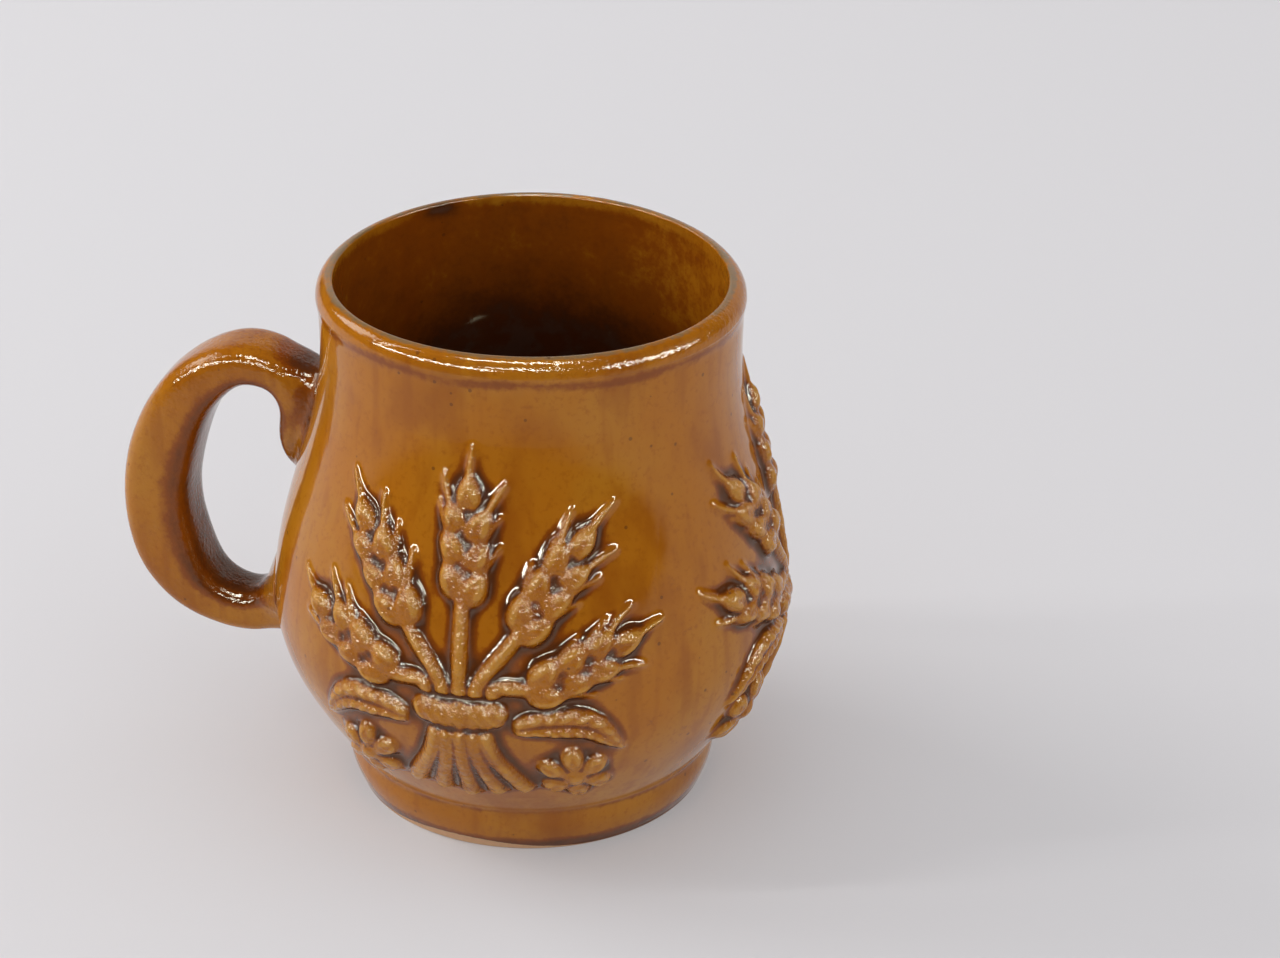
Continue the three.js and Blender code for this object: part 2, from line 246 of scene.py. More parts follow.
paper = pale_sheet()
bpy.context.collection.objects.link(paper)
material, tree, output = new_material("matt_paper")
place = wire(tree, "ShaderNodeTexCoord", output="Object")
fade = ramp(x_y_z(place)[1], FADE_END, FADE_START)
by_camera, by_glaze = wires(tree, "ShaderNodeLightPath", None, ("Is Camera Ray", "Is Glossy Ray"))
colour = mix_colour(maths("MAXIMUM", fade, 1.0 - by_glaze), FLOOR_SHADE, FLOOR_COLOUR)
lit = wire(tree, "ShaderNodeBsdfDiffuse", {"Color": colour})
plain = wire(tree, "ShaderNodeEmission", {"Color": colour})
share = by_camera * FAINT_SHADOW + by_glaze * FAINT_IN_GLAZE
softened = wire(tree, "ShaderNodeMixShader", {0: share, 1: lit, 2: plain})
tree.links.new(softened.socket, output.inputs["Surface"])
paper.data.materials.append(material)
print("the sheet, m:", 2 * FLOOR_HALF, "wide, with a wall of", WALL_RISE, "high behind")

# %% World: a dim room that still fills the shadows
ROOM_SEEN = (0.035, 0.035, 0.035, 1.0)
ROOM_FILL = (0.78, 0.78, 0.79, 1.0)

world = bpy.data.worlds.new("room")
world.use_nodes = True
bpy.context.scene.world = world
tree = world.node_tree
tree.nodes.clear()
seen = wire(tree, "ShaderNodeBackground", {"Color": ROOM_SEEN})
fill = wire(tree, "ShaderNodeBackground", {"Color": ROOM_FILL})
by_glaze = wire(tree, "ShaderNodeLightPath", output="Is Glossy Ray")
room = wire(tree, "ShaderNodeMixShader", {0: by_glaze, 1: fill, 2: seen})
add(tree, "ShaderNodeOutputWorld", {"Surface": room})
print("the room as the glaze sees it:", ROOM_SEEN[:3], "and as it fills shadows:", ROOM_FILL[:3])

# %% Lights
def lamp(name, place, length, width, power, heading=0.0, only_mirrored=False):
    """A flat lamp that hangs at a place, points at the mug and runs along its heading."""
    light = bpy.data.lights.new(name, "AREA")
    light.shape = "RECTANGLE"
    light.size = length
    light.size_y = width
    light.energy = power
    holder = bpy.data.objects.new(name, light)
    bpy.context.collection.objects.link(holder)
    aim = (-Vector(place)).to_track_quat("-Z", "Y").to_matrix().to_4x4()
    holder.matrix_world = Matrix.Translation(place) @ aim @ Matrix.Rotation(heading, 4, "Z")
    holder.visible_diffuse = not only_mirrored
    return holder


lamp("window_left", (-2.2, 0.3, 1.5), 1.2, 1.0, 20.0)
lamp("window_right", (2.2, 0.3, 1.5), 1.2, 1.0, 1.5)
lamp("strip_left", (-1.3, -0.5, 1.2), 0.9, 0.06, 5.0, heading=math.pi / 2)
lamp("low_left", (-1.22, -1.58, 0.80), 2.5, 0.13, 55.0, only_mirrored=True)
lamp("low_front", (0.20, -1.92, 1.30), 1.1, 0.20, 32.0, only_mirrored=True)
lamp("low_right", (1.92, -0.55, 0.86), 2.0, 0.18, 60.0, only_mirrored=True)
lamp("overhead", (-0.05, -0.48, 1.70), 0.9, 0.20, 28.0, only_mirrored=True)

bpy.context.scene.view_settings.view_transform = "Standard"

# %% [markdown]
# The glaze
#
# Honey glaze is a brown glass over buff clay. Where it lies thin, on ridges, the clay shows through it light
# and yellow, and where it pools, in corners, it turns to a dark brown. So the surface carries a number that
# is painted on the mesh for how deep the glaze lies: 0 is an even coat, up to 1 a pool, and down to -1 a bare
# ridge. The same number also carries painted shade and painted light: the inside of the cup, the hole side of
# the handle and a wide halo round the relief are painted darker, and the foot and a band above its crease
# lighter. Three more numbers say where the potter wiped the glaze off under the foot (bare), where use has
# rubbed the lip and a painted pale sheen lies on its top, and where the glaze is finely wrinkled (puckered).
# Everything finer, such as clouds, streaks and iron specks, comes from noise on Object coordinates, so that
# it runs on from one piece to the next.

# %% Colours of the glaze and the clay
EVEN_GLAZE = (0.405, 0.134, 0.0055, 1.0)
HONEY_GLAZE = (0.425, 0.160, 0.0095, 1.0)
BROWN_GLAZE = (0.285, 0.074, 0.0030, 1.0)
# the thin colour also carries painted light, and the amber and pooled ones painted shade, wherever the
# painted number asks for them
THIN_GLAZE_AND_LIGHT = (0.520, 0.235, 0.0300, 1.0)
AMBER_GLAZE_AND_SHADE = (0.225, 0.048, 0.0025, 1.0)
POOLED_GLAZE_AND_SHADE = (0.095, 0.026, 0.0060, 1.0)
MILKY_POOL = (0.095, 0.050, 0.0350, 1.0)
# the lip's top: real wear, and a painted pale sheen that stands in for the mirrored pale sheet
WORN_AND_SHEEN_RIM = (0.215, 0.132, 0.0600, 1.0)
SPECK = (0.080, 0.024, 0.0070, 1.0)
BARE_CLAY = (0.720, 0.460, 0.2700, 1.0)
DARK_CLAY = (0.500, 0.260, 0.1300, 1.0)
GLAZE_ROUGHNESS = 0.065
CLAY_ROUGHNESS = 0.75
GLAZE_BENDING = 1.47
GLAZE_TINT = (1.0, 0.99, 0.80, 1.0)
SPECKS_PER_METRE = 210.0
LARGEST_SPECK = 0.13


def noise(place, scale, detail=3.0, stretch=(1.0, 1.0, 1.0), roughness=0.5):
    """Noise of so many swells to the metre; stretch squeezes it along each axis."""
    squeezed = wire(place.tree, "ShaderNodeVectorMath", {0: place, 1: stretch}, operation="MULTIPLY")
    links = {"Vector": squeezed, "Scale": scale, "Detail": detail, "Roughness": roughness}
    return wire(place.tree, "ShaderNodeTexNoise", links, "Fac")


# %% The honey glaze as a material
def centred(value, size):
    """A noise turned into a swing to both sides of nothing."""
    return (value - 0.5) * size


def glaze_colour(place, depth_and_shading, worn_and_sheen):
    """Clouds, runs and mottle, and then what a thin or thick coat, the painted shade and light, and the wear
    with its painted sheen do to them.
    """
    clouds = noise(place, 30.0, detail=3.0)
    colour = mix_colour(ramp(clouds, 0.42, 0.66), EVEN_GLAZE, HONEY_GLAZE)
    brown = noise(place, 55.0, detail=4.0, stretch=(1.0, 1.0, 0.55))
    colour = mix_colour(ramp(brown, 0.50, 0.72) * 0.75, colour, BROWN_GLAZE)
    runs = noise(place, 230.0, detail=2.0, stretch=(1.0, 1.0, 0.10))
    colour = mix_colour(ramp(runs, 0.50, 0.72) * 0.45, colour, BROWN_GLAZE)
    mottle = noise(place, 620.0, detail=5.0, roughness=0.65)
    colour = mix_colour(ramp(mottle, 0.50, 0.70) * 0.45, colour, BROWN_GLAZE)

    patches = noise(place, 140.0, detail=4.0)
    local = depth_and_shading + (centred(mottle, 0.4) + centred(patches, 0.6))
    colour = mix_colour(ramp(-local, 0.15, 0.90) * 0.85, colour, THIN_GLAZE_AND_LIGHT)
    colour = mix_colour(ramp(local, 0.08, 0.42) * 0.9, colour, AMBER_GLAZE_AND_SHADE)
    colour = mix_colour(ramp(local, 0.35, 1.05), colour, POOLED_GLAZE_AND_SHADE)
    milky = ramp(local, 0.85, 1.25) * ramp(patches, 0.42, 0.60)
    colour = mix_colour(milky * 0.6, colour, MILKY_POOL)

    # the rubbed lip, with a painted pale sheen on its top
    rubbed_and_sheen = worn_and_sheen + (centred(mottle, 0.9) + centred(patches, 1.3))
    return mix_colour(ramp(rubbed_and_sheen, 0.30, 0.95), colour, WORN_AND_SHEEN_RIM), mottle


def speckled(place, colour):
    """Iron specks of many sizes: one to each cell of a net, and most of them too small to see."""
    links = {"Vector": place, "Scale": SPECKS_PER_METRE}
    tint, away = wires(place.tree, "ShaderNodeTexVoronoi", links, ("Color", "Distance"), feature="F1")
    chance = wire(place.tree, "ShaderNodeSeparateColor", {0: tint})
    size = ramp(chance, 0.40, 1.0) * LARGEST_SPECK
    return mix_colour(ramp(size - away, 0.0, 0.03) * 0.55, colour, SPECK)


def honey_glaze(name, wrinkle=0.0, wrinkle_scale=900.0):
    """Glaze over clay; wrinkle, in mm, is how deep its fine skin is puckered."""
    material, tree, output = new_material(name)
    place = wire(tree, "ShaderNodeTexCoord", output="Object")
    depth_and_shading, bare, worn_and_sheen, puckered = [wire(tree, "ShaderNodeAttribute", output="Fac", attribute_name=label)
                                   for label in ("glaze_depth", "bare", "worn_and_sheen", "puckered")]
    colour, mottle = glaze_colour(place, depth_and_shading, worn_and_sheen)
    colour = speckled(place, colour)

    wiped = ramp(bare + centred(mottle, 0.5), 0.45, 0.6)
    colour = mix_colour(wiped, colour, mix_colour(mottle, BARE_CLAY, DARK_CLAY))
    rough = wire(tree, "ShaderNodeMix", {0: wiped, 2: GLAZE_ROUGHNESS, 3: CLAY_ROUGHNESS})
    pucker = noise(place, wrinkle_scale, detail=2.0) * (wrinkle * MM) * puckered
    swell = noise(place, 140.0, detail=1.0) * (0.05 * MM)
    bump = wire(tree, "ShaderNodeBump", {"Height": pucker + swell, "Distance": 1.0, "Strength": 1.0})
    shader = wire(tree, "ShaderNodeBsdfPrincipled", {
        "Base Color": colour, "Roughness": rough, "IOR": GLAZE_BENDING, "Specular Tint": GLAZE_TINT,
        "Normal": bump})
    tree.links.new(shader.socket, output.inputs["Surface"])
    return material


body_glaze = honey_glaze("body_glaze", wrinkle=0.20)
handle_glaze = honey_glaze("handle_glaze", wrinkle=0.16)
relief_glaze = honey_glaze("relief_glaze", wrinkle=0.75, wrinkle_scale=720.0)
print("nodes in one glaze:", len(body_glaze.node_tree.nodes))

# %% [markdown]
# The outline of the body
#
# The real body was thrown on a wheel, so one outline, from the middle of the underside round the foot, up the
# wall, over the lip and down the inside to the middle of the floor, says all of it. The outside follows a
# quarter sine wave up the belly, half a cosine wave in to the neck and a slight flare at the lip, as the
# measured model does. What is added here is what a wheel and a wet sponge leave: a rounded foot edge, a soft
# crease above the foot, and a full lip. It is highest at its inner edge, rounds over to the outside, stands a
# little proud of the neck, and ends in a faint crease where the glaze gathered.

# %% Sizes of the body, mm
MUG_HEIGHT = cad_high.z / MM
FOOT_BASE_RADIUS = 46.8
FOOT_RADIUS = 50.1
FOOT_ROUND_HEIGHT = 10.0
FOOT_HEIGHT = 13.0
CREASE_RADIUS = 49.8
BELLY_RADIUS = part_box("body")[1].x / MM
BELLY_HEIGHT = 55.0
NECK_RADIUS = 54.5
NECK_HEIGHT = 129.0
RIM_RADIUS = 54.9
WALL = 4.4
LIP_DROP = 5.0
LIP_PROUD = 0.5
LIP_CREASE = 4.0
LIP_INNER_ROUND = 0.9
FLOOR_HEIGHT = 8.5
FLOOR_FLAT_RADIUS = 26.0
FLOOR_CORNER = 17.0
FOOT_EDGE = 0.9
CREASE_SOFTNESS = 1.1


def smooth_step(value, low, high):
    """0 below low and 1 above high, with a smooth turn between them."""
    share = np.clip((np.asarray(value, float) - low) / (high - low), 0.0, 1.0)
    return share * share * (3.0 - 2.0 * share)


def sharp_radius(height):
    """Outside radius of foot and wall at heights, before the crease is softened, mm."""
    height = np.asarray(height, float)
    foot = FOOT_BASE_RADIUS + (FOOT_RADIUS - FOOT_BASE_RADIUS) * np.sin(
        np.pi / 2 * np.clip(height / FOOT_ROUND_HEIGHT, 0.0, 1.0))
    foot += (CREASE_RADIUS - FOOT_RADIUS) * np.clip(
        (height - FOOT_ROUND_HEIGHT) / (FOOT_HEIGHT - FOOT_ROUND_HEIGHT), 0.0, 1.0)
    belly = CREASE_RADIUS + (BELLY_RADIUS - CREASE_RADIUS) * np.sin(
        np.pi / 2 * np.clip((height - FOOT_HEIGHT) / (BELLY_HEIGHT - FOOT_HEIGHT), 0.0, 1.0))
    waist = NECK_RADIUS + (BELLY_RADIUS - NECK_RADIUS) * (
        1 + np.cos(np.pi * np.clip((height - BELLY_HEIGHT) / (NECK_HEIGHT - BELLY_HEIGHT), 0.0, 1.0))) / 2
    flare = np.clip((height - NECK_HEIGHT) / (MUG_HEIGHT - NECK_HEIGHT), 0.0, 1.0)
    neck = NECK_RADIUS + (RIM_RADIUS - NECK_RADIUS) * flare ** 2
    upper = np.where(height < BELLY_HEIGHT, belly, np.where(height < NECK_HEIGHT, waist, neck))
    return np.where(height < FOOT_HEIGHT, foot, upper)


def outer_radius(height):
    """Outside radius at heights with the crease softened, as a mean over its neighbourhood, mm."""
    height = np.asarray(height, float)
    steps = np.linspace(-2.0, 2.0, 17)
    weights = np.exp(-steps ** 2)
    near = sharp_radius(height[..., None] + steps * CREASE_SOFTNESS)
    return (near * weights).sum(-1) / weights.sum()


def body_outline():
    """Points (radius, height) round the outline, mm, and how many of them lie outside."""
    arc = np.linspace(0.0, np.pi / 2, 7)
    edge_middle = float(outer_radius(FOOT_EDGE)) - FOOT_EDGE
    under = [(r, 0.0) for r in np.linspace(0.0, edge_middle, 12)[:-1]]
    edge = [(edge_middle + FOOT_EDGE * math.sin(t), FOOT_EDGE * (1 - math.cos(t))) for t in arc]
    lip_start = MUG_HEIGHT - LIP_DROP
    heights = [*np.arange(FOOT_EDGE + 0.5, 18.0, 0.5), *np.arange(18.0, lip_start, 1.2)]
    proud = LIP_PROUD * smooth_step(heights, lip_start - LIP_CREASE, lip_start)
    wall = [(float(outer_radius(h) + p), float(h)) for h, p in zip(heights, proud)]
    shoulder = WALL - LIP_INNER_ROUND
    lip_top = float(outer_radius(lip_start)) - shoulder
    reach = shoulder + LIP_PROUD
    lip = [(lip_top + reach * math.cos(t), MUG_HEIGHT - LIP_DROP * (1 - math.sin(t)))
           for t in np.linspace(0.0, np.pi / 2, 25)]
    lip += [(lip_top - LIP_INNER_ROUND * math.sin(t), MUG_HEIGHT - LIP_INNER_ROUND * (1 - math.cos(t)))
            for t in arc[1:]]
    corner_top = FLOOR_HEIGHT + FLOOR_CORNER
    inner = [(float(outer_radius(h)) - WALL, float(h)) for h in np.arange(MUG_HEIGHT - 2.2, corner_top, -1.6)]
    corner_reach = float(outer_radius(corner_top)) - WALL - FLOOR_FLAT_RADIUS
    corner = [(FLOOR_FLAT_RADIUS + corner_reach * math.cos(t), corner_top - FLOOR_CORNER * math.sin(t))
              for t in np.linspace(0.0, np.pi / 2, 16)]
    floor = [(r, FLOOR_HEIGHT) for r in np.linspace(FLOOR_FLAT_RADIUS, 0.0, 9)[1:]]
    return under + edge + wall + lip + inner + corner + floor


outline = body_outline()
print("outline points:", len(outline), "outside radius at the belly, mm:",
      round(float(outer_radius(BELLY_HEIGHT)), 1))

# %% [markdown]
# Turning the body
#
# Spinning the outline by hand would do, but a Geometry Nodes tree also keeps the potter's hand adjustable. A
# grid is rolled up round the axis: its columns become angles and its rows the points of the outline. Three
# waves then push the wall out of round towards the rim, as the real rim is: it sits a little off the foot's
# middle, it is slightly oval, and it has a faint third corner. A last noise leaves the wall unevenly smooth,
# by a tenth of a millimetre, which is what makes the reflections swim.

# %% A Geometry Nodes tree with named inputs, and a way to run it
def new_tree(name, inputs):
    """A tree that makes geometry, and a wire from each input; inputs gives their names and kinds."""
    tree = bpy.data.node_groups.new(name, "GeometryNodeTree")
    tree.interface.new_socket("Geometry", in_out="OUTPUT", socket_type="NodeSocketGeometry")
    for label, kind in inputs.items():
        tree.interface.new_socket(label, in_out="INPUT", socket_type="NodeSocket" + kind)
    sockets = tree.nodes.new("NodeGroupInput").outputs
    return tree, {label: Wire(tree, sockets[label]) for label in inputs}


def end_tree(geometry, glaze):
    """Ends a tree with what an export needs: real geometry and a material."""
    tree = geometry.tree
    real = wire(tree, "GeometryNodeRealizeInstances", {"Geometry": geometry})
    smooth = wire(tree, "GeometryNodeSetShadeSmooth", {"Geometry": real})
    glazed = wire(tree, "GeometryNodeSetMaterial", {"Geometry": smooth, "Material": glaze})
    add(tree, "NodeGroupOutput", {"Geometry": glazed})


def grown(name, tree, values):
    """Runs a tree with the values of its named inputs, and gives the result as a plain mesh."""
    seed = bpy.data.objects.new(name + "_seed", bpy.data.meshes.new(name + "_seed"))
    bpy.context.collection.objects.link(seed)
    modifier = seed.modifiers.new("nodes", "NODES")
    modifier.node_group = tree
    for item in tree.interface.items_tree:
        if item.in_out == "INPUT":
            modifier[item.identifier] = values[item.name]
    bpy.context.view_layer.update()
    graph = bpy.context.evaluated_depsgraph_get()
    mesh = bpy.data.meshes.new_from_object(seed.evaluated_get(graph))
    mesh.name = name
    bpy.data.objects.remove(seed)
    return mesh


def helper_object(name, points, edges=(), faces=()):
    """An object that only lends its points to a tree; it is removed when the tree has run."""
    mesh = bpy.data.meshes.new(name)
    mesh.from_pydata(points, edges, faces)
    thing = bpy.data.objects.new(name, mesh)
    bpy.context.collection.objects.link(thing)
    return thing


# %% How the wall is out of true, for every tree that needs the wall
POTTER = {
    "Shift": 1.1 * MM, "Shift Towards": math.radians(32),
    "Oval": 1.2 * MM, "Oval Towards": math.radians(-6),
    "Corner": 0.6 * MM, "Corner Towards": math.radians(-16),
    "Round Below": 60 * MM, "Rim Height": MUG_HEIGHT * MM,
    "Lean": 0.5 * MM, "Lean Towards": math.radians(180),
    "Lean Height": BELLY_HEIGHT * MM, "Lean Reach": 48 * MM,
    "Unevenness": 0.35 * MM, "Unevenness Scale": 30.0, "Seed": 4.0}
POTTER_KINDS = dict.fromkeys(POTTER, "Float")


def wave(angle, lobes, size, towards):
    """A wave round the rim: so many lobes of a size, one of them towards an angle."""
    return maths("COSINE", (angle - towards) * lobes) * size


def turned_place(given, angle, radius, height):
    """The place at an angle, radius and height, pushed out of round towards the rim."""
    push = wave(angle, 1.0, given["Shift"], given["Shift Towards"])
    push = push + wave(angle, 2.0, given["Oval"], given["Oval Towards"])
    push = push + wave(angle, 3.0, given["Corner"], given["Corner Towards"])
    push = push * ramp(height, given["Round Below"], given["Rim Height"])
    off_belly = maths("ABSOLUTE", height - given["Lean Height"])
    at_belly = 1.0 - ramp(off_belly, 0.0, given["Lean Reach"])
    push = push + wave(angle, 1.0, given["Lean"], given["Lean Towards"]) * at_belly
    near_axis = maths("MULTIPLY", radius, 1 / (RIM_RADIUS * MM), clamp=True)
    pushed = radius + push * near_axis
    x = maths("COSINE", angle) * pushed
    y = maths("SINE", angle) * pushed
    return wire(angle.tree, "ShaderNodeCombineXYZ", {0: x, 1: y, 2: height})


def moved_along_normal(geometry, distance):
    """Moves each point of a geometry along its normal."""
    normal = wire(geometry.tree, "GeometryNodeInputNormal")
    links = {0: normal, "Scale": distance}
    offset = wire(geometry.tree, "ShaderNodeVectorMath", links, operation="SCALE")
    return wire(geometry.tree, "GeometryNodeSetPosition", {"Geometry": geometry, "Offset": offset})


def seeded_noise(tree, scale, detail, seed, more_links=None):
    """Noise whose fourth direction is its seed."""
    links = {"Scale": scale, "Detail": detail, "W": seed, **(more_links or {})}
    return wire(tree, "ShaderNodeTexNoise", links, "Fac", noise_dimensions="4D")


def made_by_hand(given, geometry):
    """Presses a wall in, unevenly, but leaves the foot flat on the table."""
    swell = seeded_noise(geometry.tree, given["Unevenness Scale"], 1.0, given["Seed"])
    height = x_y_z(wire(geometry.tree, "GeometryNodeInputPosition"))[2]
    size = swell * given["Unevenness"] * ramp(height, 1.0 * MM, 8.0 * MM)
    return moved_along_normal(geometry, -size)


def point_in(thing, index):
    """The place of one point, by its number, of a helper object."""
    points = wire(thing.tree, "GeometryNodeObjectInfo", {"Object": thing}, "Geometry")
    links = {"Geometry": points, "Value": wire(thing.tree, "GeometryNodeInputPosition"), "Index": index}
    return x_y_z(wire(thing.tree, "GeometryNodeSampleIndex", links, data_type="FLOAT_VECTOR"))


def row_of(share, rows):
    """The number of a grid's row from its place across the grid, -0.5 to 0.5."""
    return maths("ROUND", (share + 0.5) * (rows - 1.0))


print("the rim sits off the foot's middle by, mm:", round(POTTER["Shift"] / MM, 1))

# %% The tree that turns an outline
def grid_to_roll(columns, rows):
    """A flat grid, the angle that each of its columns gets, and the number of each row."""
    links = {"Size X": 1.0, "Size Y": 1.0, "Vertices X": columns + 1.0, "Vertices Y": rows}
    grid = wire(columns.tree, "GeometryNodeMeshGrid", links)
    across, up, _ = x_y_z(wire(columns.tree, "GeometryNodeInputPosition"))
    return grid, (across + 0.5) * (2 * math.pi), row_of(up, rows)


def rolled_up(grid, place):
    """Puts the points of a grid in their places and closes its seam."""
    rolled = wire(grid.tree, "GeometryNodeSetPosition", {"Geometry": grid, "Position": place})
    return wire(grid.tree, "GeometryNodeMergeByDistance", {"Geometry": rolled, "Distance": 1e-6})


def turning_tree():
    """A grid rolled up round the axis, each of its rows a point of the outline."""
    tree, given = new_tree("turned_body", {
        "Outline": "Object", "Outline Points": "Int", "Columns": "Int", "Glaze": "Material", **POTTER_KINDS})
    grid, angle, row = grid_to_roll(given["Columns"], given["Outline Points"])
    radius, _, height = point_in(given["Outline"], row)
    closed = rolled_up(grid, turned_place(given, angle, radius, height))
    end_tree(made_by_hand(given, closed), given["Glaze"])
    return tree


# %% Turn the body
OUTLINE = helper_object("outline", [(r * MM, 0.0, h * MM) for r, h in outline])
body_mesh = grown("mug_body", turning_tree(), {
    "Outline": OUTLINE, "Outline Points": len(outline), "Columns": 240, "Glaze": body_glaze, **POTTER})
bpy.data.objects.remove(OUTLINE)
print("body faces:", len(body_mesh.polygons))


def points_of(mesh):
    """The points of a mesh as an array, in mm."""
    flat = np.zeros(len(mesh.vertices) * 3, np.float32)
    mesh.vertices.foreach_get("co", flat)
    return flat.reshape(-1, 3) / MM


def normals_of(mesh):
    """The normal at each point of a mesh."""
    flat = np.zeros(len(mesh.vertices) * 3, np.float32)
    mesh.vertex_normals.foreach_get("vector", flat)
    return flat.reshape(-1, 3)


def paint(mesh, name, values):
    """Stores one number for each point of a mesh."""
    layer = mesh.attributes.get(name) or mesh.attributes.new(name, "FLOAT", "POINT")
    layer.data.foreach_set("value", np.asarray(values, np.float32))


def stand(name, mesh, nodes):
    """Makes an object of a mesh that stands for measured nodes."""
    piece = bpy.data.objects.new(name, mesh)
    bpy.context.collection.objects.link(piece)
    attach(piece, "root")
    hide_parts(*nodes)
    return piece


# %% Paint the body
BARE_BEARING = -98.0
BARE_RISE = 2.7
SMUDGE_BEARING = 133.0

places = points_of(body_mesh)
heights = places[:, 2]
bearings = np.arctan2(places[:, 1], places[:, 0])


def ring(middle, spread):
    """1 on a ring round the mug at a height, fading out over a spread."""
    return np.exp(-((heights - middle) / spread) ** 2)


facing = normals_of(body_mesh)
to_axis = (facing[:, :2] * places[:, :2]).sum(1) < 0.0
on_cup_floor = (facing[:, 2] > 0.5) & (heights < MUG_HEIGHT / 2)
indoors = (to_axis | on_cup_floor) & (heights > FLOOR_HEIGHT - 1.0)
on_lip = heights > MUG_HEIGHT - LIP_DROP
crease = ring(FOOT_HEIGHT + 0.2, 0.9) * ~indoors
# painted light: a lighter band of glaze above the crease stands in for a pale sheen, and the foot band is
# painted lighter where the floor's shade falls on it
sheen_over_crease = smooth_step(heights, 13.5, 15.5) * (1.0 - smooth_step(heights, 18.0, 27.0)) * ~indoors
lighter_foot_band = smooth_step(heights, 5.0, 8.0) * (1.0 - smooth_step(heights, 11.0, 13.0)) * ~indoors
drip_height = MUG_HEIGHT - LIP_DROP - 1.6 + 0.7 * np.sin(bearings * 5) * np.sin(bearings * 3 + 1)
drip = ring(drip_height, 1.4) * ~indoors
lip_top = smooth_step(heights, MUG_HEIGHT - 0.9, MUG_HEIGHT - 0.2)
foot_edge = (1.0 - smooth_step(heights, 2.0, 5.5)) * ~indoors
# painted shade inside the cup: the inner wall is darker from just below the lip, and darker still further
# down; painted light keeps the inner wall on the right, where more light falls, less dark
deep_shade_edge = 50.0 + 30.0 * np.sin(bearings - math.radians(100)) ** 2 + 3.0 * np.sin(5 * bearings)
shade_deep_in_cup = smooth_step(MUG_HEIGHT - heights, deep_shade_edge - 34.0, deep_shade_edge) * indoors
lit_side_in_cup = 0.26 * np.exp(-((np.degrees(bearings) - 30.0) / 32.0) ** 2)
in_cup = smooth_step(MUG_HEIGHT - heights, 0.8, 4.0) * (0.46 - lit_side_in_cup) * indoors
smudge = np.exp(-((np.degrees(bearings) - SMUDGE_BEARING) / 7.0) ** 2) * ring(MUG_HEIGHT - 1.6, 1.8)
smudge *= indoors | (heights > MUG_HEIGHT - 1.0)
glaze_depth = 0.30 * crease - 0.35 * sheen_over_crease - 0.15 * lighter_foot_band + 0.42 * drip + 0.80 * foot_edge
glaze_depth += 1.2 * smudge + in_cup + 0.80 * shade_deep_in_cup
paint(body_mesh, "glaze_depth", np.clip(glaze_depth, -1.0, 1.2))
# the lip's top: wear and a painted pale sheen
paint(body_mesh, "worn_and_sheen", 0.75 * lip_top)
crackled = 0.35 + 0.65 * smooth_step(np.degrees(bearings), -88.0, -60.0) * (np.degrees(bearings) < 90.0)
paint(body_mesh, "puckered", crackled * on_lip)
bare_height = 0.3 + BARE_RISE * np.exp(-((np.degrees(bearings) - BARE_BEARING) / 25.0) ** 2)
paint(body_mesh, "bare", (1.0 - smooth_step(heights, 0.6 * bare_height, 1.4 * bare_height)) * ~indoors)
stand("mug_body", body_mesh, ["body"])
wall_tree = BVHTree.FromPolygons([vertex.co for vertex in body_mesh.vertices],
                                 [tuple(face.vertices) for face in body_mesh.polygons])
print("painted on the body:", [layer.name for layer in body_mesh.attributes if layer.data_type == "FLOAT"])

# %% [markdown]
# The sprigs, laid out flat
#
# Each relief was pressed in small moulds and luted on piece by piece: five barley ears on their stalks, the
# cut ends of the stalks, a twisted band round them, two long leaves and two little rosettes. They are drawn
# here flat on the bench, in millimetres across, up and off the wall. One function presses every strip: it
# follows a line and gives it a width, a rise and a section. A grain is a short fat strip with a crease, and
# its long bristle is a thin one. An ear and a rosette repeat one pressed form, so Geometry Nodes sets those
# out by their rules.

# %% Pressing strips of clay
clay_forms = bpy.data.collections.new("clay_forms")
bpy.context.scene.collection.children.link(clay_forms)


def smooth_line(points, count):
    """A curve through points, at evenly spaced places along it."""
    points = np.array(points, float)
    points = np.vstack([2 * points[0] - points[1], points, 2 * points[-1] - points[-2]])
    gaps = np.sqrt(np.linalg.norm(np.diff(points, axis=0), axis=1))
    share = np.linspace(0.0, 1.0, 40, endpoint=False)[:, None]
    fine = []
    for i in range(1, len(points) - 2):
        before, a, b, after = points[i - 1:i + 3]
        start = ((a - before) / gaps[i - 1] - (b - before) / (gaps[i - 1] + gaps[i])) * gaps[i] + b - a
        stop = ((after - b) / gaps[i + 1] - (after - a) / (gaps[i] + gaps[i + 1])) * gaps[i] + b - a
        fine.append(a + start * share + (3 * (b - a) - 2 * start - stop) * share ** 2
                    + (2 * (a - b) + start + stop) * share ** 3)
    fine = np.vstack([*fine, points[-2]])
    steps = np.r_[0.0, np.cumsum(np.linalg.norm(np.diff(fine, axis=0), axis=1))]
    return np.column_stack([np.interp(np.linspace(0, steps[-1], count), steps, fine[:, i]) for i in range(2)])


def plain_section(across, along):
    """How high a strip stands at a place across it, -1 to 1: a low dome."""
    return np.sqrt(np.clip(1.0 - across ** 2, 0.0, 1.0))


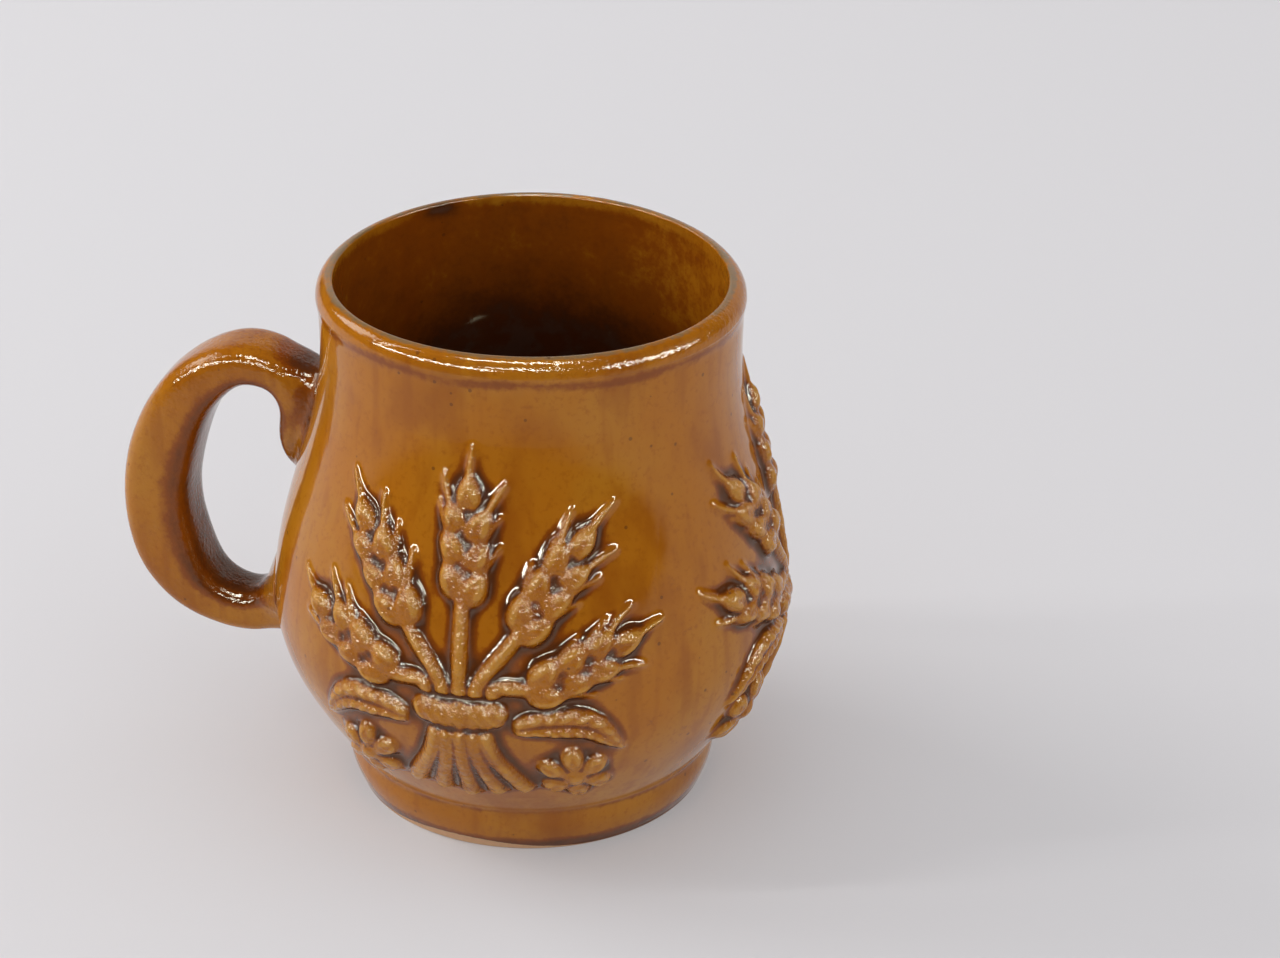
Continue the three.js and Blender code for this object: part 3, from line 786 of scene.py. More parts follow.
def pressed(line, width_at, rise_at, section=plain_section, base=0.0, columns=17):
    """A sheet of points and faces along a flat line, as wide and as high as the mould makes it."""
    rows = len(line)
    along = np.linspace(0.0, 1.0, rows)
    heading = np.gradient(line, axis=0)
    heading /= np.linalg.norm(heading, axis=1)[:, None]
    sideways = np.column_stack([-heading[:, 1], heading[:, 0]])
    across = np.sin(np.linspace(-np.pi / 2, np.pi / 2, columns))
    grid_along, grid_across = np.meshgrid(along, across, indexing="ij")
    flat = line[:, None, :] + sideways[:, None, :] * (grid_across * width_at(grid_along) / 2)[..., None]
    rise = base + rise_at(grid_along) * section(grid_across, grid_along)
    points = np.dstack([flat, rise]).reshape(-1, 3)
    corner = (np.arange(rows - 1)[:, None] * columns + np.arange(columns - 1)).ravel()
    faces = np.column_stack([corner, corner + columns, corner + columns + 1, corner + 1])
    return points, faces


def joined(sheets):
    """Several sheets as one."""
    points = np.vstack([sheet[0] for sheet in sheets])
    starts = np.cumsum([0] + [len(sheet[0]) for sheet in sheets[:-1]])
    faces = np.vstack([sheet[1] + start for sheet, start in zip(sheets, starts)])
    return points, faces


def clay(name, sheet, keep=True):
    """An object of a pressed sheet; it is kept among the clay forms, or it is only a mould for a tree."""
    thing = helper_object(name, (sheet[0] * MM).tolist(), faces=sheet[1].tolist())
    if keep:
        bpy.context.scene.collection.objects.unlink(thing)
        clay_forms.objects.link(thing)
    return thing


# %% One barley grain with its bristle, and one petal
GRAIN_LENGTH = 12.0
GRAIN_WIDTH = 7.2
GRAIN_RISE = 4.2
BRISTLE_LENGTH = 9.0
PETAL_LENGTH = 9.2
PETAL_WIDTH = 6.2
PETAL_RISE = 3.2


def pointed(along, fullest, bluntness):
    """0 at both ends and 1 where a form is fullest."""
    power = math.log(0.5) / math.log(fullest)
    return np.sin(np.pi * np.clip(along, 0, 1) ** power) ** bluntness


def grain_section(across, along):
    """A rounded back with a crease down the middle and a fold on each side."""
    crease = 0.30 * np.exp(-(across / 0.20) ** 2) * np.sin(np.pi * along) ** 0.5
    folds = 0.06 * np.cos(across * 3 * np.pi) * (1.0 - across ** 2)
    return plain_section(across, along) - crease + folds


straight = np.column_stack([np.zeros(40), np.linspace(-0.5, 0.5, 40)])
grain = pressed(straight * GRAIN_LENGTH, lambda t: GRAIN_WIDTH * pointed(t, 0.44, 0.75),
                lambda t: GRAIN_RISE * pointed(t, 0.60, 0.55), grain_section)
bristle_line = smooth_line([(0.0, 4.5), (0.2, 4.5 + BRISTLE_LENGTH / 2), (1.0, 4.5 + BRISTLE_LENGTH)], 14)
bristle = pressed(bristle_line, lambda t: 1.9 - 0.9 * t, lambda t: 2.4 - 1.2 * t, columns=9)
GRAIN = clay("grain", joined([grain, bristle]), keep=False)


def petal_section(across, along):
    """A petal is dished: its middle lies lower than its two sides."""
    dish = 0.35 * np.exp(-(across / 0.30) ** 2) * smooth_step(along, 0.3, 0.7)
    return plain_section(across, along) * (1.0 - dish)


petal = pressed(straight * PETAL_LENGTH, lambda t: PETAL_WIDTH * pointed(t, 0.58, 0.6),
                lambda t: PETAL_RISE * pointed(t, 0.55, 0.4), petal_section)
PETAL = clay("petal", petal, keep=False)
print("points in a grain and in a petal:", len(GRAIN.data.vertices), len(PETAL.data.vertices))

# %% The trees that set grains along an ear and petals round a rosette
def random_about(middle, spread, seed):
    """A random number for each point, as far as spread to each side of the middle."""
    links = {2: middle - spread, 3: middle + spread, "Seed": seed}
    return wire(seed.tree, "FunctionNodeRandomValue", links, 1, data_type="FLOAT")


def set_out(count, place, turn, scale, mould, glaze):
    """Ends a tree with so many copies of a mould's form, turned from straight up towards the right."""
    tree = count.tree
    points = wire(tree, "GeometryNodePoints", {"Count": count})
    links = {"Points": wire(tree, "GeometryNodeSetPosition", {"Geometry": points, "Position": place}),
             "Instance": wire(tree, "GeometryNodeObjectInfo", {"Object": mould}, "Geometry"),
             "Rotation": wire(tree, "ShaderNodeCombineXYZ", {2: -turn}), "Scale": scale}
    end_tree(wire(tree, "GeometryNodeInstanceOnPoints", links), glaze)


def ear_tree():
    """Grains in pairs down a line from its tip, with one more grain at the tip."""
    tree, given = new_tree("barley_ear", {
        "Line": "Object", "Grain": "Object", "Pairs": "Int", "Pitch": "Float", "First Pair": "Float",
        "Stagger": "Float", "Side Offset": "Float", "Tilt": "Float", "Seed": "Int", "Glaze": "Material"})
    number = wire(tree, "GeometryNodeInputIndex")
    in_pairs = maths("MINIMUM", number, 1.0)
    pair = maths("FLOOR", (number - 1.0) * 0.5)
    odd = maths("MODULO", number, 2.0)
    side = (1.0 - odd * 2.0) * in_pairs
    down = (pair + given["First Pair"]) * given["Pitch"] + given["Stagger"] * (1.0 - odd)

    line = wire(tree, "GeometryNodeObjectInfo", {"Object": given["Line"]}, "Geometry")
    curve = wire(tree, "GeometryNodeMeshToCurve", {"Mesh": line})
    from_foot = wire(tree, "GeometryNodeCurveLength", {0: curve}) - down * in_pairs
    links = {"Curves": curve, "Length": from_foot}
    on_line, tangent = wires(tree, "GeometryNodeSampleCurve", links, ("Position", "Tangent"),
                             mode="LENGTH", use_all_curves=True)
    right, up, _ = x_y_z(tangent)
    aside = side * given["Side Offset"]
    offset = wire(tree, "ShaderNodeCombineXYZ", {0: up * aside, 1: -(right * aside)})
    place = wire(tree, "ShaderNodeVectorMath", {0: on_line, 1: offset})
    tilt = random_about(side * given["Tilt"], math.radians(4.0), given["Seed"])
    scale = random_about(0.97, 0.04, given["Seed"] + 7.0)
    turn = maths("ARCTAN2", right, up) + tilt
    set_out(given["Pairs"] * 2.0 + 1.0, place, turn, scale, given["Grain"], given["Glaze"])
    return tree


def rosette_tree():
    """Petals all round a middle, each of them pointing outwards."""
    tree, given = new_tree("rosette", {
        "Petal": "Object", "Petals": "Int", "Reach": "Float", "Seed": "Int", "Glaze": "Material"})
    share = wire(tree, "GeometryNodeInputIndex") / given["Petals"]
    heading = random_about(share * (2 * math.pi), math.radians(3.0), given["Seed"])
    x = maths("SINE", heading) * given["Reach"]
    y = maths("COSINE", heading) * given["Reach"]
    place = wire(tree, "ShaderNodeCombineXYZ", {0: x, 1: y})
    set_out(given["Petals"], place, heading, (1.0, 1.0, 1.0), given["Petal"], given["Glaze"])
    return tree


def keep_form(name, mesh, place=(0.0, 0.0)):
    """Keeps a grown form among the clay forms, moved to its place on the bench."""
    mesh.transform(Matrix.Translation((place[0] * MM, place[1] * MM, 0.0)))
    clay_forms.objects.link(bpy.data.objects.new(name, mesh))


# %% Five ears on their stalks
TIE_HEIGHT = 54.0
TIE_WIDTH = 25.0
TIE_DEPTH = 9.0
TIE_GAP = 0.7
STALK_WIDTH = 4.0
STALK_RISE = 2.3
STALK_SPACING = 4.5
EAR_LEAN = math.radians(33.5)
EAR_REACHES = {"outer_left": (-2, 46.0), "inner_left": (-1, 53.0), "middle": (0, 56.0),
               "inner_right": (1, 53.0), "outer_right": (2, 46.0)}
GRAIN_PITCH = 7.5
GRAIN_PAIRS = 3
FIRST_PAIR = 0.85
GRAIN_STAGGER = 1.5
GRAIN_ASIDE = 3.0
GRAIN_TILT = math.radians(24)
STALK_POINTS = 44

EARS = ear_tree()
stalk_foot = TIE_HEIGHT + TIE_DEPTH / 2 + TIE_GAP
for number, (name, (place, reach)) in enumerate(EAR_REACHES.items()):
    lean = place * EAR_LEAN
    tip = np.array([math.sin(lean), math.cos(lean)]) * reach
    middle = np.array([0.0, TIE_HEIGHT])
    foot = (place * STALK_SPACING, stalk_foot)
    bends = [foot, (foot[0], stalk_foot + 2.6), middle + tip * 0.45, middle + tip * 0.7, middle + tip]
    line = smooth_line(bends, 60)
    steps = [(i, i + 1) for i in range(len(line) - 1)]
    spine = helper_object("ear_line", [(x * MM, y * MM, 0.0) for x, y in line], steps)
    ear_mesh = grown("ear_" + name, EARS, {
        "Line": spine, "Grain": GRAIN, "Pairs": GRAIN_PAIRS, "Pitch": GRAIN_PITCH * MM,
        "First Pair": FIRST_PAIR, "Stagger": GRAIN_STAGGER * MM, "Side Offset": GRAIN_ASIDE * MM,
        "Tilt": GRAIN_TILT, "Seed": number, "Glaze": relief_glaze})
    bpy.data.objects.remove(spine)
    keep_form("ear_" + name, ear_mesh)
    stalk = line[:STALK_POINTS]
    clay("stalk_" + name, pressed(stalk, lambda t: STALK_WIDTH + 0 * t, lambda t: STALK_RISE + 0 * t))
print("ears:", len(EAR_REACHES), "grains in each:", 2 * GRAIN_PAIRS + 1)

# %% The cut ends, the twisted tie, the leaves and the rosettes
CUT_END_HEIGHT = 24.0
CUT_END_STAGGER = 1.4
CUT_TOP_SPACING = 3.2
CUT_BEND_SPACING = 4.0
CUT_END_SPACING = 7.5
TIE_SAG = 0.8
TIE_BAND = 8.2
TIE_RISE = 3.0
KNOT_LENGTH = 8.6
KNOT_WIDTH = 8.4
KNOT_RISE = 3.15
LEAF_WIDTH = 9.0
LEAF_RISE = 1.7
LEAF_BENDS = ((1.6, 3.5), (10, 2.2), (21, 4), (30, 14))
ROSETTE_ACROSS = 28.0
ROSETTE_HEIGHT = 33.0
PETALS = 6
PETAL_REACH = 5.7
EYE_SIZE = 7.2
EYE_RISE = 3.9

cut_top = TIE_HEIGHT - TIE_DEPTH / 2 - TIE_GAP
for place in (-2, -1, 0, 1, 2):
    end = CUT_END_HEIGHT + abs(place) * CUT_END_STAGGER
    bend = (place * CUT_BEND_SPACING, (cut_top * 2 + end) / 3)
    line = smooth_line([(place * CUT_TOP_SPACING, cut_top), bend, (place * CUT_END_SPACING, end)], 40)
    clay("cut_end", pressed(line, lambda t: STALK_WIDTH + 1.6 * t,
                            lambda t: 1.2 * STALK_RISE * (1 - 0.15 * t ** 3)))


def twisted_section(across, along):
    """A band of twisted straw: slanting strands side by side."""
    strand = np.abs(np.sin(np.pi * (along * 8 + across * 0.8)))
    return plain_section(across, along) * (0.55 + 0.45 * strand ** 0.7)


tie_end = TIE_HEIGHT + TIE_SAG
band = smooth_line([(-TIE_WIDTH / 2, tie_end), (0, TIE_HEIGHT - TIE_SAG), (TIE_WIDTH / 2, tie_end)], 120)
clay("tie", pressed(band, lambda t: TIE_BAND * (1 - (2 * t - 1) ** 12),
                    lambda t: TIE_RISE * (1 - 0.4 * (2 * t - 1) ** 6), twisted_section, columns=25))
knot = straight * KNOT_LENGTH + (0.0, TIE_HEIGHT - TIE_SAG / 2)
clay("knot", pressed(knot, lambda t: KNOT_WIDTH * pointed(t, 0.5, 0.5),
                     lambda t: KNOT_RISE * pointed(t, 0.5, 0.4)))


def leaf_section(across, along):
    """A leaf with a furrow down its middle and slanting veins to both sides."""
    furrow = 0.60 * np.exp(-(across / 0.22) ** 2)
    veins = 0.20 * np.cos(2 * np.pi * (along * 9 - np.abs(across) * 1.1))
    veins *= smooth_step(np.abs(across), 0.2, 0.4)
    return plain_section(across, along) * (1.0 - furrow + veins)


def leaf_fullness(along):
    """How full a leaf is along its length: blunt at the tie and drawn out to a tip."""
    return np.clip(np.sin(np.pi * (0.14 + 0.86 * along)), 0.01, 1.0) ** 0.8


for side in (-1, 1):
    line = smooth_line([(side * (TIE_WIDTH / 2 + away), TIE_HEIGHT - down) for away, down in LEAF_BENDS], 80)
    clay("leaf", pressed(line, lambda t: LEAF_WIDTH * leaf_fullness(t),
                         lambda t: LEAF_RISE * (1 + leaf_fullness(t)), leaf_section, columns=33))

ROSETTES = rosette_tree()
for side in (-1, 1):
    rosette = grown("rosette", ROSETTES, {
        "Petal": PETAL, "Petals": PETALS, "Reach": PETAL_REACH * MM, "Seed": 5 + side,
        "Glaze": relief_glaze})
    keep_form("rosette", rosette, (side * ROSETTE_ACROSS, ROSETTE_HEIGHT))
    eye = straight * EYE_SIZE + (side * ROSETTE_ACROSS, ROSETTE_HEIGHT)
    clay("eye", pressed(eye, lambda t: EYE_SIZE * pointed(t, 0.5, 0.5),
                        lambda t: EYE_RISE * pointed(t, 0.5, 0.5)))

# %% [markdown]
# The sprigs, laid on the wall and glazed over
#
# On the kiln shelf the glaze runs over clay and wall alike: it rounds every edge, fills the corners and makes
# one skin of all. So each relief becomes one skin. A fine flat grid feels for the clay forms by rays from
# above. A slight blur takes the sharpness off, and then the larger of the height and its own blur is taken,
# which fills corners but leaves the tops, just as glaze does. How much was filled is painted as pooled glaze,
# and how far a place stands above its surroundings as thin glaze. Then the grid is wrapped round the very
# same wall as the body's, out of round and uneven as it is. Towards its border every rise fades out, and the
# border itself dips under the body's surface. A coarse back, stitched to it inside the wall, closes each skin
# to a thin solid.

# %% The tree that makes a skin over the clay
SKIN_HALF = 55.0
SKIN_LOW = 17.0
SKIN_HIGH = 127.0
SKIN_STEPS = 256
BACK_STRIDE = 8
BACK_DEPTH = 1.2
RAYS_FROM = 20.0


def blurred(value, times):
    """The mean with the neighbours, taken so many times."""
    links = {"Value": value, "Iterations": times, "Weight": 1.0}
    return wire(value.tree, "GeometryNodeBlurAttribute", links, data_type="FLOAT")


def stored(geometry, name, value):
    """Paints a number on a geometry and gives the geometry back."""
    links = {"Geometry": geometry, "Name": name, "Value": value}
    return wire(geometry.tree, "GeometryNodeStoreNamedAttribute", links, data_type="FLOAT", domain="POINT")


def painted(tree, name):
    """A number that was painted on the geometry before."""
    return wire(tree, "GeometryNodeInputNamedAttribute", {"Name": name}, data_type="FLOAT")


def kept(geometry, name, value):
    """Paints a number on a geometry, and gives the geometry and the number as it was painted."""
    return stored(geometry, name, value), painted(geometry.tree, name)


def felt_for(given, across, up):
    """How high the clay stands over each point of the flat grid, found by rays from above, and dented."""
    tree = across.tree
    forms = wire(tree, "GeometryNodeCollectionInfo", {"Collection": given["Clay"]})
    above = wire(tree, "ShaderNodeCombineXYZ", {0: across, 1: up, 2: RAYS_FROM * MM})
    links = {"Target Geometry": wire(tree, "GeometryNodeRealizeInstances", {"Geometry": forms}),
             "Source Position": above, "Ray Direction": (0.0, 0.0, -1.0), "Ray Length": RAYS_FROM * MM}
    is_hit, hit = wires(tree, "GeometryNodeRaycast", links, ("Is Hit", "Hit Position"))
    reached = maths("MAXIMUM", x_y_z(hit)[2] * is_hit, 0.0)
    swell = seeded_noise(tree, given["Dents Scale"], 2.0, given["Dents Seed"], {"Vector": above})
    return reached * ((swell - 0.5) * given["Dents"] + 1.0)


def skin_tree():
    """A flat grid that takes the form of the clay, is glazed, and is wrapped round the wall."""
    tree, given = new_tree("relief_skin", {
        "Clay": "Collection", "Wall Line": "Object", "Columns": "Int", "Rows": "Int", "Half Width": "Float",
        "Middle Height": "Float", "Full Height": "Float", "Angle": "Float", "Softening": "Int",
        "Corner Filling": "Int", "Pool Filling": "Int", "Cover": "Float", "Dip": "Float",
        "Dip Width": "Float", "Dents": "Float", "Dents Scale": "Float", "Dents Seed": "Float",
        "Glaze": "Material", **POTTER_KINDS})
    grid = wire(tree, "GeometryNodeMeshGrid", {
        "Size X": given["Half Width"] * 2.0, "Size Y": given["Full Height"],
        "Vertices X": given["Columns"], "Vertices Y": given["Rows"]})
    spot = x_y_z(wire(tree, "GeometryNodeInputPosition"))
    flat, across = kept(grid, "across", spot[0])
    flat, up = kept(flat, "up", spot[1] + given["Middle Height"])

    flat, raw = kept(flat, "raw", felt_for(given, across, up))
    flat, soft = kept(flat, "soft", blurred(raw, given["Softening"]))
    flat, filled = kept(flat, "filled", maths("MAXIMUM", soft, blurred(soft, given["Corner Filling"])))
    flat, filled = kept(flat, "filled", maths("MAXIMUM", filled, blurred(filled, given["Pool Filling"])))
    flat, rise = kept(flat, "rise", blurred(filled, 2))
    # pooled glaze in the filled corners, and painted shade: a wide dark halo round the foot of every form
    pooled_and_shaded = ramp(rise - soft, 0.05 * MM, 0.7 * MM) * 0.45
    pooled_and_shaded = pooled_and_shaded + ramp(blurred(rise, 40) - rise, 0.02 * MM, 0.55 * MM) * 0.95
    ridge = ramp(soft - blurred(soft, 30), 0.10 * MM, 0.9 * MM)
    flat = stored(flat, "glaze_depth", pooled_and_shaded - ridge)
    flat = stored(flat, "puckered", ramp(rise, 0.3 * MM, 1.5 * MM))

    up_share = (up - given["Middle Height"]) / given["Full Height"]
    radius = point_in(given["Wall Line"], row_of(up_share, given["Rows"]))[0]
    place = turned_place(given, given["Angle"] + across / radius, radius, up)
    wrapped = wire(tree, "GeometryNodeSetPosition", {"Geometry": flat, "Position": place})

    from_side = given["Half Width"] - maths("ABSOLUTE", across)
    from_end = given["Full Height"] * 0.5 - maths("ABSOLUTE", up - given["Middle Height"])
    from_border = maths("MINIMUM", from_side, from_end)
    cover = ramp(from_border, 0.0, given["Dip Width"], -given["Dip"], given["Cover"])
    laid_on = cover + rise * ramp(from_border, 0.3 * MM, 2.5 * MM)
    end_tree(moved_along_normal(made_by_hand(given, wrapped), laid_on), given["Glaze"])
    return tree


# %% A back for a skin
def close_behind(mesh, steps):
    """Stitches a coarse back, inside the wall, to the border of a square skin of so many steps each way."""
    form = bmesh.new()
    form.from_mesh(mesh)
    form.verts.ensure_lookup_table()
    front = [[form.verts[i * (steps + 1) + j] for j in range(steps + 1)] for i in range(steps + 1)]
    stops = range(0, steps + 1, BACK_STRIDE)
    back = {}
    for i in stops:
        for j in stops:
            spot, normal, _, _ = wall_tree.find_nearest(front[i][j].co)
            back[i, j] = form.verts.new(spot - normal * BACK_DEPTH * MM)
    faces = []
    for i in stops[:-1]:
        for j in stops[:-1]:
            corners = ((i, j), (i, j + BACK_STRIDE), (i + BACK_STRIDE, j + BACK_STRIDE), (i + BACK_STRIDE, j))
            faces.append(form.faces.new([back[corner] for corner in corners]))
    for start in stops[:-1]:
        along = range(start, start + BACK_STRIDE + 1)
        for side in (0, steps):
            faces.append(form.faces.new([front[side][k] for k in along]
                                        + [back[side, along[-1]], back[side, start]]))
            faces.append(form.faces.new([front[k][side] for k in along]
                                        + [back[along[-1], side], back[start, side]]))
    bmesh.ops.recalc_face_normals(form, faces=form.faces)
    open_edges = sum(not edge.is_manifold for edge in form.edges)
    form.to_mesh(mesh)
    form.free()
    return open_edges


# %% Lay the three reliefs
RELIEF_ANGLES = {"front": -90.0, "right": 14.0, "back": 118.0}

skin_heights = np.linspace(SKIN_LOW, SKIN_HIGH, SKIN_STEPS + 1)
WALL_LINE = helper_object("wall_line", [(float(outer_radius(h)) * MM, 0.0, h * MM) for h in skin_heights])
SKIN = skin_tree()
for name, degrees in RELIEF_ANGLES.items():
    mesh = grown("relief_" + name, SKIN, {
        "Clay": clay_forms, "Wall Line": WALL_LINE, "Columns": SKIN_STEPS + 1, "Rows": SKIN_STEPS + 1,
        "Half Width": SKIN_HALF * MM, "Middle Height": (SKIN_LOW + SKIN_HIGH) / 2 * MM,
        "Full Height": (SKIN_HIGH - SKIN_LOW) * MM, "Angle": math.radians(degrees), "Softening": 2,
        "Corner Filling": 3, "Pool Filling": 5, "Cover": 0.03 * MM, "Dip": 0.06 * MM, "Dip Width": 6.5 * MM,
        "Dents": 0.45, "Dents Scale": 260.0, "Dents Seed": degrees, "Glaze": relief_glaze, **POTTER})
    open_edges = close_behind(mesh, SKIN_STEPS)
    nodes = [node for node in frame["nodes"] if node.startswith(name + "_")]
    stand("relief_" + name, mesh, nodes)
    print("relief_" + name, "faces:", len(mesh.polygons), "open edges:", open_edges, "sprigs:", len(nodes))

bpy.data.objects.remove(WALL_LINE)
for thing in [GRAIN, PETAL, *clay_forms.objects]:
    bpy.data.objects.remove(thing)
bpy.data.collections.remove(clay_forms)

# %% [markdown]
# The handle
#
# A handle like this is pulled from a lump of wet clay, by stroking it down until it is a strap, and then
# luted on at both ends. Its top end is bent down against the wall and pressed, so a blunt tail shows there,
# and its lower end is smeared into the belly. The middle line is the measured model's, in the plane of the
# handle. A Geometry Nodes tree sets a rounded-square section along it. It takes the width and thickness from
# numbers painted on the line: they swell in the grip, where the palm works, thin towards the wrist, and flare
# again at the joint.

# %% Sizes of the handle, mm
HANDLE_REACH = 104.0
HANDLE_TOP = 113.4
HANDLE_BOTTOM = 37.6
GRIP_HEIGHT = 72.0
TAIL_WIDTH = 17.0
TAIL_THICKNESS = 7.4
STRAP_WIDTH = 21.0
STRAP_THICKNESS = 13.0
GRIP_THICKNESS = 19.0
WRIST_WIDTH = 16.5
WRIST_THICKNESS = 12.4
JOINT_WIDTH = 22.0
JOINT_THICKNESS = 15.5
HANDLE_ROWS = 420


def off_wall(height, stand_off):
    """A point of the handle's plane so far off the wall, as reach and height."""
    return float(outer_radius(height)) + stand_off, height


def eased(line, reach):
    """A line whose bends are eased over so many points to each side; its ends stay."""
    weights = np.exp(-0.5 * (np.arange(-3 * reach, 3 * reach + 1) / reach) ** 2)
    weights /= weights.sum()
    before = 2 * line[0] - line[3 * reach:0:-1]
    after = 2 * line[-1] - line[-2:-3 * reach - 2:-1]
    long = np.vstack([before, line, after])
    return np.column_stack([np.convolve(long[:, i], weights, mode="valid") for i in range(2)])


handle_points = [
    off_wall(82.8, 1.4),
    off_wall(92.8, 3.9),
    off_wall(102.4, 4.6),
    (NECK_RADIUS + 12.5, HANDLE_TOP - 2.5),
    (NECK_RADIUS + 24.0, HANDLE_TOP),
    (HANDLE_REACH - 13.0, HANDLE_TOP - 8.1),
    (HANDLE_REACH - 4.8, HANDLE_TOP - 21.4),
    (HANDLE_REACH, GRIP_HEIGHT),
    (HANDLE_REACH - 2.8, GRIP_HEIGHT - 18.0),
    (HANDLE_REACH - 11.0, HANDLE_BOTTOM + 4.6),
    (BELLY_RADIUS + 12.0, HANDLE_BOTTOM + 0.1),
    (BELLY_RADIUS + 2.0, HANDLE_BOTTOM + 2.6),
    off_wall(HANDLE_BOTTOM + 5.0, -2.3),
]
middle_line = eased(smooth_line(handle_points, HANDLE_ROWS), 7)
along = np.linspace(0.0, 1.0, HANDLE_ROWS)
past_tail = smooth_step(along, 0.0, 0.40)
in_grip = smooth_step(along, 0.24, 0.54) * (1.0 - smooth_step(along, 0.68, 0.86))
at_wrist = smooth_step(along, 0.72, 0.90)
at_joint = smooth_step(along, 0.92, 1.0)
round_tip = np.sin(np.pi / 2 * np.clip(along / 0.11, 0.0, 1.0)) ** 0.70
closing = np.sqrt(np.clip((1.0 - along) / 0.008, 0.0, 1.0))


def from_tail_to_joint(tail, strap, wrist, joint):
    """A size along the strap that goes over from the tail's to the strap's, the wrist's and the joint's."""
    size = tail + (strap - tail) * past_tail + (wrist - strap) * at_wrist
    return (size + (joint - wrist) * at_joint) * round_tip * closing


grip_swell = (GRIP_THICKNESS - STRAP_THICKNESS) * in_grip
thickness = from_tail_to_joint(TAIL_THICKNESS, STRAP_THICKNESS, WRIST_THICKNESS, JOINT_THICKNESS) + grip_swell
width = from_tail_to_joint(TAIL_WIDTH, STRAP_WIDTH, WRIST_WIDTH, JOINT_WIDTH)
print("length of the strap, mm:", round(float(np.linalg.norm(np.diff(middle_line, axis=0), axis=1).sum())))


# %% The tree that pulls a strap along its line
def number_in(thing, index, name):
    """A number that was painted on one point, by its number, of a helper object."""
    points = wire(thing.tree, "GeometryNodeObjectInfo", {"Object": thing}, "Geometry")
    links = {"Geometry": points, "Value": painted(thing.tree, name), "Index": index}
    return wire(thing.tree, "GeometryNodeSampleIndex", links, data_type="FLOAT")


def rounded(value, squareness):
    """A sine or cosine pressed outwards, so that a circle of them turns to a rounded square."""
    size = maths("POWER", maths("ABSOLUTE", value), maths("DIVIDE", 2.0, squareness))
    return maths("SIGN", value) * size


def strap_tree():
    """A grid rolled up round the strap's line, as wide and as thick as the line says."""
    tree, given = new_tree("pulled_strap", {
        "Line": "Object", "Rows": "Int", "Columns": "Int", "Squareness": "Float",
        "Unevenness": "Float", "Unevenness Scale": "Float", "Seed": "Float", "Glaze": "Material"})
    grid, turn, row = grid_to_roll(given["Columns"], given["Rows"])
    line = given["Line"]
    here = point_in(line, row)
    before = point_in(line, maths("MAXIMUM", row - 1.0, 0.0))
    after = point_in(line, maths("MINIMUM", row + 1.0, given["Rows"] - 1.0))
    run = after[0] - before[0]
    climb = after[2] - before[2]
    pace = maths("SQRT", maths("POWER", run, 2.0) + maths("POWER", climb, 2.0))
    outwards = maths("COSINE", turn)
    sideways = maths("SINE", turn)
    through = rounded(outwards, given["Squareness"]) * (number_in(line, row, "thickness") * 0.5)
    across = rounded(sideways, given["Squareness"]) * (number_in(line, row, "width") * 0.5)
    x = here[0] + through * (climb / pace)
    z = here[2] - through * (run / pace)
    marked = stored(stored(grid, "outwards", outwards), "sideways", sideways)
    closed = rolled_up(marked, wire(tree, "ShaderNodeCombineXYZ", {0: x, 1: across, 2: z}))
    swell = seeded_noise(tree, given["Unevenness Scale"], 2.0, given["Seed"])
    end_tree(moved_along_normal(closed, (swell - 0.5) * given["Unevenness"]), given["Glaze"])
    return tree


STRAP_LINE = helper_object("strap_line", [(-reach * MM, 0.0, height * MM) for reach, height in middle_line])
paint(STRAP_LINE.data, "thickness", thickness * MM)
paint(STRAP_LINE.data, "width", width * MM)
handle_mesh = grown("handle", strap_tree(), {
    "Line": STRAP_LINE, "Rows": HANDLE_ROWS, "Columns": 84, "Squareness": 3.3,
    "Unevenness": 0.5 * MM, "Unevenness Scale": 45.0, "Seed": 9.0, "Glaze": handle_glaze})
bpy.data.objects.remove(STRAP_LINE)

# %% [markdown]
# Smearing the handle into the wall
#
# Where two wet clays meet, the potter presses them together, runs a finger along the seam, and the glaze then
# fills what is left. So whatever of the tail turns towards the wall is pushed right into it, and no gap stays
# behind its edges. Then every point near the wall slides outwards along the wall, the more the nearer it is,
# on a quarter round, which is wider at the neck. Inside the hole, at the lower joint, a thumb has drawn the
# clay up the wall, so the rise there is steep and far larger. The seam keeps a fine line of pooled glaze, and
# a thicker, cloudy pool has gathered where the handle leaves the neck.

# %% Fillets of the handle
FILLET = 2.6
NECK_FILLET = 4.6
THUMB_REACH = 13.0
THUMB_RISE = 15.0
SEAT_DEPTH = 1.0
DEEPEST = 1.6


def from_wall(spots):
    """How far points are off the wall, mm, and the wall's normal at each."""
    hits = [wall_tree.find_nearest(Vector(spot * MM)) for spot in spots]
    outward = np.array([hit[1] for hit in hits])
    return ((spots - np.array([hit[0] for hit in hits]) / MM) * outward).sum(1), outward


def read(mesh, name):
    """The numbers that were painted on a mesh, one for each point."""
    values = np.zeros(len(mesh.vertices), np.float32)
    mesh.attributes[name].data.foreach_get("value", values)
    return values


def put_places(mesh, spots):
    """Moves the points of a mesh to places in mm."""
    mesh.vertices.foreach_set("co", (spots * MM).astype(np.float32).ravel())
    mesh.update()


outwards = read(handle_mesh, "outwards")
sideways = read(handle_mesh, "sideways")
places = points_of(handle_mesh)
hole_side = smooth_step(-outwards, -0.15, 0.60)
low_end = 1.0 - smooth_step(places[:, 2], HANDLE_BOTTOM + 2.0, HANDLE_BOTTOM + 26.0)
at_thumb = hole_side * (1.0 - smooth_step(places[:, 2], 58.0, 70.0))
at_tail = smooth_step(places[:, 2], 70.0, 78.0)
at_neck = smooth_step(places[:, 2], 88.0, 100.0) * (1.0 - hole_side)

